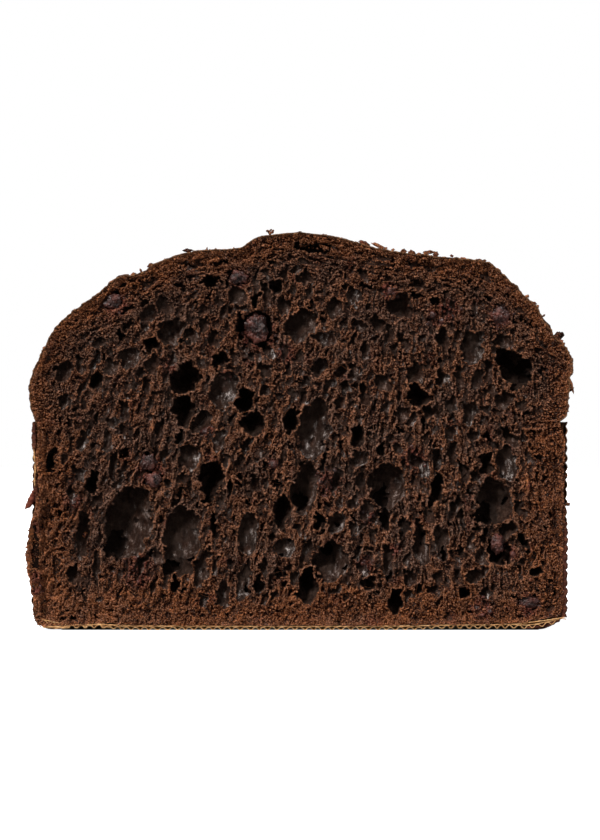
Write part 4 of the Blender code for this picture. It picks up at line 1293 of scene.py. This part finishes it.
def crumb_strands(field, finish):
    """Thin strings of crumb drawn across the cells and along the torn crumb."""
    rng = np.random.default_rng(SEED + 7)
    places, warm = [], []
    for x, z, half_width, half_height, lean, *_ in field["cells"]:
        size = min(half_width, half_height)
        if size < 0.9:
            continue
        for _ in range(int(1 + size * 0.8)):
            start = rng.uniform(0, 2 * math.pi)
            end = start + rng.uniform(1.0, 3.0) / size * rng.choice([-1, 1])
            ends = []
            for angle in (start, end):
                across, along = half_width * 1.05 * math.cos(angle), half_height * 1.05 * math.sin(angle)
                right, up = leaning(-lean, across, along)
                depth = face_depth(field, x + right, z + up)
                ends.append(None if depth is None else np.array([x + right, CUT_Y + depth + 0.1, z + up]))
            if ends[0] is None or ends[1] is None or abs(ends[0][1] - ends[1][1]) > 3.0:
                continue
            sag = np.array([rng.uniform(-0.4, 0.4), rng.uniform(0.1, 0.8), rng.uniform(-0.7, 0.1)])
            middle = (ends[0] + ends[1]) / 2 + sag
            places.append(strand_shape(ends[0], middle, ends[1], rng.uniform(0.06, 0.15)))
            warm.append(0.5)
    for x, z in zip(rng.uniform(-88, 90, FREE_STRANDS), rng.uniform(7, 86, FREE_STRANDS)):
        reach = rng.uniform(0.9, 3.0)
        turn = math.radians(float(lean_at(x)) + rng.normal(0, 13))
        spots = []
        for share in (-reach, 0.0, reach):
            px, pz = x + share * math.sin(turn) + rng.normal(0, 0.15), z + share * math.cos(turn)
            if (face_depth(field, px, pz, "torn") or 0) > 0.45:
                spots.append(np.array([px, CUT_Y + face_depth(field, px, pz), pz]))
        if len(spots) < 3 or np.ptp([spot[1] for spot in spots]) > 1.8:
            continue
        middle = 2 * (spots[1] - (0.0, 0.15, 0.0)) - (spots[0] + spots[2]) / 2
        places.append(strand_shape(spots[0], middle, spots[2], rng.uniform(0.10, 0.24)))
        warm.append(rng.uniform(0.1, 0.8))
    values = crumb_values(rng.uniform(0.5, 0.9, len(places)), warm, np.zeros(len(places)))
    add_piece("crumb_strands", joined_copies("crumb_strands", unit_tube(), places, values), "crumb", [finish])


def strand_shape(start, middle, end, thickness):
    """Bends the unit tube along a curve from start to end, thinner in its middle."""
    def place(points):
        t = points[:, 2:3]
        line = (1 - t) ** 2 * start + 2 * t * (1 - t) * middle + t ** 2 * end
        ahead = (end - start) / np.linalg.norm(end - start)
        side = np.cross(ahead, (0.0, 1.0, 0.0))
        side /= np.linalg.norm(side) + 1e-9
        up = np.cross(side, ahead)
        width = thickness * (0.55 + 1.8 * (t - 0.5) ** 2)
        return line + width * (points[:, 0:1] * side + points[:, 1:2] * up)
    return place


def crumb_shades(rng, count):
    """How light each laid crumb is, and how stained: about one in seven is."""
    return rng.uniform(0.40, 0.80, count), (rng.random(count) < 0.15) * 0.8


def larger_crumbs(field, finish):
    """Flakes and tufts with a place of their own, on the edge of the cut and on its face."""
    rows = [row[:5] for row in LOOSE_CRUMBS] + DARK_LUMPS + OUTLINE_CRUMBS
    crest, stain = crumb_shades(np.random.default_rng(SEED + 9), len(rows))
    loose = len(LOOSE_CRUMBS)
    crest[:loose] = 0.72
    stain[:loose] = [row[5] for row in LOOSE_CRUMBS]
    crest[loose : loose + len(DARK_LUMPS)] = 0.12
    laid_crumbs("larger_crumbs", uneven_ball(2, 0.75, 8.0), field, finish, rows, crest, stain)


def edge_crumbs(field, finish):
    """Small tufts all along the edge of the cut."""
    rng = np.random.default_rng(SEED + 10)
    rows = []
    for index in rng.integers(60, len(OUTLINE) - 60, EDGE_CRUMBS):
        size = rng.lognormal(math.log(EDGE_CRUMB_SIZE), 0.35)
        x, z = OUTLINE[index]
        rows.append((x * 0.998, z - 0.15, size, size * rng.uniform(0.6, 1.3), rng.uniform(-60, 60)))
    laid_crumbs("edge_crumbs", small_lump(0.9, 8.0), field, finish, rows, *crumb_shades(rng, len(rows)))


def laid_crumbs(name, template, field, finish, rows, crest, stain):
    """Copies of a crumb laid on the face, or against the edge of the cut where they stand outside it."""
    rng = np.random.default_rng(SEED + 11)
    places = []
    for x, z, width, height, lean in rows:
        turn = math.radians(lean)
        lay = np.array([[math.cos(turn), 0, -math.sin(turn)], [0, 1, 0], [math.sin(turn), 0, math.cos(turn)]])
        thick = 0.8 * min(width, height) + 0.2
        shape = np.array([width, thick, height]) / 2 * 1.2
        behind = face_depth(field, x, z)
        forward = thick / 2 + rng.uniform(0, 0.6) if behind is None else behind + 0.1 * thick
        spin = turned(rng) * 0.25 + np.eye(3) * 0.8
        places.append(copy_at((spin * shape) @ lay, (x, CUT_Y + 0.1 + forward, z)))
    values = crumb_values(crest, np.ones(len(rows)), stain)
    add_piece(name, joined_copies(name, template, places, values), "crumb", [finish])


# ---------------------------------------------------------------- the paper case

def bulge(angle, height):
    """How far the case's left side stands off the loaf."""
    side = np.maximum(0.0, -np.cos(angle)) ** 6
    return CASE_BULGE * side * np.exp(-((height - BULGE_HEIGHT) / BULGE_REACH) ** 2)


def round_wall(radius, height, angle):
    """Points of the case wall, with its bulge and the slight unevenness of handled paper."""
    uneven = 0.22 * swirl(angle * 92, height, 26.0, 31) + 0.10 * swirl(angle * 92, height, 9.0, 32)
    radius = radius + bulge(angle, height) + uneven * smooth(0.0, 12.0, height) * np.sin(angle).clip(0.25, 1)
    radius = radius - CRUSHED_CORNER * np.maximum(0.0, np.cos(angle)) ** 4 * smooth(7.0, 0.0, height)
    height = height + 0.25 * swirl(angle * 92, 0 * angle, 18.0, 33) * smooth(60, CASE_TOP, height)
    back = CASE_SET_BACK + (radius - CASE_SET_BACK) * np.sin(angle)
    return np.stack([radius * np.cos(angle), CUT_Y + back, height], axis=1)


def wall_foot(radius, lowest, turn):
    """The wall's round foot as radii and heights, from its side down to where it turns in under the loaf."""
    middle = CASE_CREST - CORNER
    radii = middle + (radius - middle) * np.cos(turn)
    return np.stack([radii, CORNER - (CORNER - lowest) * np.sin(turn)], axis=1)


def case_liner(outside, inside):
    """The smooth inner sheet of the wall, turned in under the loaf."""
    side = np.stack([np.full(40, CASE_INSIDE + PAPER), np.linspace(CASE_TOP, CORNER + 0.3, 40)], axis=1)
    foot = wall_foot(CASE_INSIDE + PAPER, LINER_LOWEST, np.linspace(0, math.pi / 2, 9))
    section = np.concatenate([side, foot, [(LIP_END, LINER_LOWEST)]])
    paper_piece("case_liner", section_sheet(section, 150), "case_wall", [outside, inside],
                Vector((0, 0, 0.04)), replaced=("case_wall",))


def section_sheet(section, turns):
    """A sheet that carries a section of (radius, height) points round the half turn."""
    steps = len(section) - 1

    def shape(u, v):
        radius, height = (np.interp(v * steps, range(steps + 1), section[:, k]) for k in (0, 1))
        return round_wall(radius, height, math.pi * u)
    return shaped_grid(turns, steps, shape)


def case_flutes(outside, inside):
    """The wall's fluted outer sheet: waves that run round it, then the turned-in lip."""
    waves = int((CASE_TOP - CORNER) / WALL_PITCH)
    at = np.linspace(0, 1, waves * POINTS_A_WAVE + 1)
    height = CASE_TOP - at * (CASE_TOP - CORNER)
    wave = np.abs(np.cos(math.pi * waves * at + 0.5 * swirl(height, 0 * height, 9.0, 45))) ** 0.6
    crushed = 1 - 0.4 * np.abs(swirl(height, 0 * height, 5.0, 46))
    radius = CASE_VALLEY + (CASE_CREST - CASE_VALLEY) * wave * crushed
    turn = np.linspace(0, math.pi / 2, 11)[1:]
    foot = wall_foot(CASE_CREST - 0.3 + 0.22 * np.cos(turn * 14), 0.28, turn)
    lip = [(LIP_END + 1.5, 0.3), (LIP_END, 0.3)]
    section = np.concatenate([np.stack([radius, height], axis=1), foot, lip])
    paper_piece("case_flutes", section_sheet(section, 120), "case_wall", [outside, inside],
                Vector((0, 0, 0.04)))


def base_point(x, depth_share, height):
    """Points of the base: x across, a share of the way back to its round edge, and a height."""
    edge = np.sqrt(np.maximum(0.04, BASE_RADIUS ** 2 - x ** 2))
    y = depth_share * edge
    reach = np.hypot(x, y) - BASE_FLAT_RADIUS
    rise = np.maximum(0, reach / (BASE_RADIUS - BASE_FLAT_RADIUS)) * BASE_RIM_RISE
    near_cut = np.exp(-y / 9.0)
    right, left = smooth(38, 50, x) * (1 - smooth(76, 84, x)), smooth(-84, -78, x) * (1 - smooth(-70, -62, x))
    lift = near_cut * (0.55 * right + 0.75 * left + 0.10 * swirl(x, y, 14.0, 41))
    return np.stack([x, CUT_Y + BASE_SET_BACK + 0.99 * y, height + rise + lift], axis=1)


def base_liner(top_side, edge_side):
    """The flat sheet that the loaf stands on."""
    def shape(u, v):
        x = (2 * u - 1) * BASE_RADIUS
        return base_point(x, v, BASE_TOP + 0.03 * swirl(x, v * 60, 5.0, 42))
    paper_piece("base_liner", shaped_grid(240, 40, shape), "case_base", [top_side, edge_side],
                Vector((0, 0, -0.05)), 0.2, ("case_base",))


def base_flutes(finish, edge_side):
    """The waves under the base, from front to back."""
    waves = int(2 * BASE_RADIUS / BASE_PITCH)
    width = waves * BASE_PITCH / 2

    def shape(u, v):
        along = u * 180
        phase = u * waves * 2 * math.pi + swirls(along, 0 * u, (1.2, 7.0, 43), (0.5, 2.9, 47))
        wave = np.clip(0.5 + 0.62 * np.cos(phase), 0, 1) * (1 - 0.35 * np.abs(swirl(along, 0 * u, 5.0, 48)))
        x = (2 * u - 1) * width
        return base_point(x, v, 0.08 + WAVE_HEIGHT * wave * (1 + 0.06 * swirl(x, v * 40, 6.0, 44)))
    paper_piece("base_flutes", shaped_grid(waves * 8, 36, shape), "case_base", [finish, edge_side],
                Vector((0, 0, 0.05)), 0.24)


def pressed_edge(seed, name, slot, finish, set_back, scallop, path):
    """A ribbon of frayed paper that faces the front at the cut.

    Its path is rows of x, z and width, and its first side may be scalloped like the wall.
    """
    path = np.array(path)
    along = along_line(path[:, :2])
    steps = max(8, int(along[-1] / 0.35))

    def shape(u, v):
        at = v * along[-1]
        x, z, width = (np.interp(at, along, path[:, k]) for k in range(3))
        ahead_x, ahead_z = (np.interp(at + 0.5, along, path[:, k]) - np.interp(at - 0.5, along, path[:, k])
                            for k in (0, 1))
        length = np.hypot(ahead_x, ahead_z)
        uneven = 0.45 * swirl(at, 0 * at, 1.3, seed) + 0.3 * swirl(at, 9 + 0 * at, 0.6, seed)
        side = (u - 0.5) * width * (1 + uneven)
        side = np.where(u < 0.5, side - scallop * np.abs(np.cos(math.pi * at / WALL_PITCH)) ** 0.6, side)
        crinkle = 0.45 * swirl(at, side * 2, 1.4, seed + 1) + 0.2 * swirl(at, side * 3, 0.6, seed + 2)
        return np.stack([x - side * ahead_z / length, CUT_Y + set_back + crinkle + 0.9 * np.abs(u - 0.5),
                         z + side * ahead_x / length], axis=1)
    mesh = mesh_from(shaped_grid(5, steps, shape), name)
    if mesh.polygons[0].normal.y > 0:
        mesh.flip_normals()
    thicken(add_piece(name, mesh, slot, [PAPERS[finish]]), 0.2)


def torn_scraps(outside, inside):
    """Small torn scraps of frayed liner at the foot of the case."""
    places = []
    for number, (start_x, start_z, end_x, end_z, width, curl) in enumerate(SCRAPS):
        start = np.array([start_x, CUT_Y + 0.4, start_z])
        end = np.array([end_x, CUT_Y + 0.4 + curl, end_z])

        def place(points, start=start, end=end, width=width, number=number):
            u, v = (points[:, 0:1] + 1) / 2, (points[:, 1:2] + 1) / 2
            wave = 0.12 * np.sin(u * 17 + number) * np.array([0.0, 0.0, 1.0])
            return start + (end - start) * u + np.array([0.0, width, 0.0]) * v * (1 - u * 0.35) + wave
        places.append(place)
    sheet = bmesh.new()
    bmesh.ops.create_grid(sheet, x_segments=12, y_segments=4, size=1.0)
    mesh = joined_copies("torn_scraps", sheet, places)
    thicken(add_piece("torn_scraps", mesh, "case_base", [outside, inside]), 0.24, 1)


def floor_finish(name, low, high, **glow):
    """The floor's plain pale finish, from one grey to another, and what it adds of its own light."""
    n = Nodes(name)
    n.finish(Base_Color=n.ramp(n.noise(3, 2.0), (0.0, (low,) * 3), (1.0, (high,) * 3)), Roughness=0.9, **glow)
    return n


def lay_floor():
    """The wide pale floor, and the darker patch of it in the case's own shade."""
    bm = bmesh.new()
    bmesh.ops.create_circle(bm, cap_ends=True, segments=64, radius=FLOOR_RADIUS)
    bmesh.ops.translate(bm, verts=bm.verts, vec=(0, 0, -0.05))
    floor = put_in_scene("floor", mesh_from(bm, "floor", False))
    n = floor_finish("pale_floor", 0.92, 0.96, Emission_Color=(1.0, 1.0, 1.0), Emission_Strength=0.9)
    soft_return = n.add("ShaderNodeBsdfDiffuse", {"Color": (0.22, 0.22, 0.22, 1.0)})
    choice = n.add("ShaderNodeMixShader", {0: n.add("ShaderNodeLightPath").outputs["Is Camera Ray"],
                                           1: soft_return.outputs[0], 2: n.shader.outputs[0]})
    n.tree.links.new(choice.outputs[0], n.tree.nodes["Material Output"].inputs["Surface"])
    floor.data.materials.append(n.material)

    bm = bmesh.new()
    bmesh.ops.create_circle(bm, cap_ends=True, segments=64, radius=BASE_RADIUS)
    for place, outward in (((0, SHADED_FLOOR_FRONT, 0), (0, -1, 0)), ((SHADED_FLOOR_SIDE, 0, 0), (1, 0, 0)),
                           ((-SHADED_FLOOR_SIDE, 0, 0), (-1, 0, 0))):
        bmesh.ops.bisect_plane(bm, geom=bm.verts[:] + bm.edges[:] + bm.faces[:], plane_co=place,
                               plane_no=outward, clear_outer=True)
    bmesh.ops.translate(bm, verts=bm.verts, vec=(0, CUT_Y, -0.03))
    under = put_in_scene("floor_under_case", mesh_from(bm, "floor_under_case", False))
    under.data.materials.append(floor_finish("shaded_floor", 0.80, 0.84).material)


def light_studio():
    """Soft light from the upper left, and a white surrounding that the camera sees."""
    world = bpy.data.worlds.new("studio")
    bpy.context.scene.world = world
    world.use_nodes = True
    tree = world.node_tree
    soft = tree.nodes["Background"]
    seen = tree.nodes.new("ShaderNodeBackground")
    for light, colour, strength in ((soft, (1.0, 0.97, 0.95, 1.0), 0.28), (seen, (1.0, 1.0, 1.0, 1.0), 1.0)):
        light.inputs["Color"].default_value = colour
        light.inputs["Strength"].default_value = strength
    choose = tree.nodes.new("ShaderNodeMixShader")
    ray = tree.nodes.new("ShaderNodeLightPath")
    tree.links.new(ray.outputs["Is Camera Ray"], choose.inputs["Fac"])
    tree.links.new(soft.outputs[0], choose.inputs[1])
    tree.links.new(seen.outputs[0], choose.inputs[2])
    tree.links.new(choose.outputs[0], tree.nodes["World Output"].inputs["Surface"])
    for name, place, spread, strength, colour in LAMPS:
        data = bpy.data.lights.new(name, "SUN")
        data.angle = math.radians(spread)
        data.energy = strength
        data.color = colour
        made = put_in_scene(name, data)
        made.location = place
        made.rotation_euler = (-Vector(place)).to_track_quat("-Z", "Y").to_euler()


def set_camera():
    """The photograph's level view of the cut face."""
    data = bpy.data.cameras.new("view")
    data.sensor_fit = "VERTICAL"
    data.sensor_height = 24.0
    data.lens = data.sensor_height * VIEW_DISTANCE / FRAME_HEIGHT
    view = put_in_scene("view", data)
    view.location = (0.0, CUT_Y * MM - VIEW_DISTANCE, VIEW_HEIGHT)
    view.rotation_euler = (math.pi / 2, 0, 0)
    bpy.context.scene.camera = view
    bpy.context.scene.view_settings.view_transform = "Standard"
    bpy.context.scene.view_settings.look = "None"


# ================================================================ the whole

crumb = crumb_finish()
field = face_field()
for number in range(FACE_TILES):
    face_tile(field, number, crumb)
crumb_grains(field, crumb)
crumb_strands(field, crumb)
larger_crumbs(field, crumb)
edge_crumbs(field, crumb)
loaf_crust(crust_finish(), crust_edge_finish())

chocolate = chocolate_finish()
chocolate_pieces(chocolate)
small_chocolate(field, chocolate)

PAPERS = {name: paper_finish(name, *colours) for name, *colours in PAPER_COLOURS}
brown, cut_brown, plain = (PAPERS[name] for name in ("brown_paper", "cut_brown_paper", "plain_paper"))
case_liner(brown, cut_brown)
case_flutes(brown, cut_brown)
for number, row in enumerate(WALL_EDGES):
    pressed_edge(EDGE_SEED + 3 * number, *row)
base_liner(plain, plain)
base_flutes(plain, plain)
for number, row in enumerate(FOOT_EDGES, len(WALL_EDGES)):
    pressed_edge(EDGE_SEED + 3 * number, *row)
torn_scraps(plain, plain)
lay_floor()
light_studio()
set_camera()
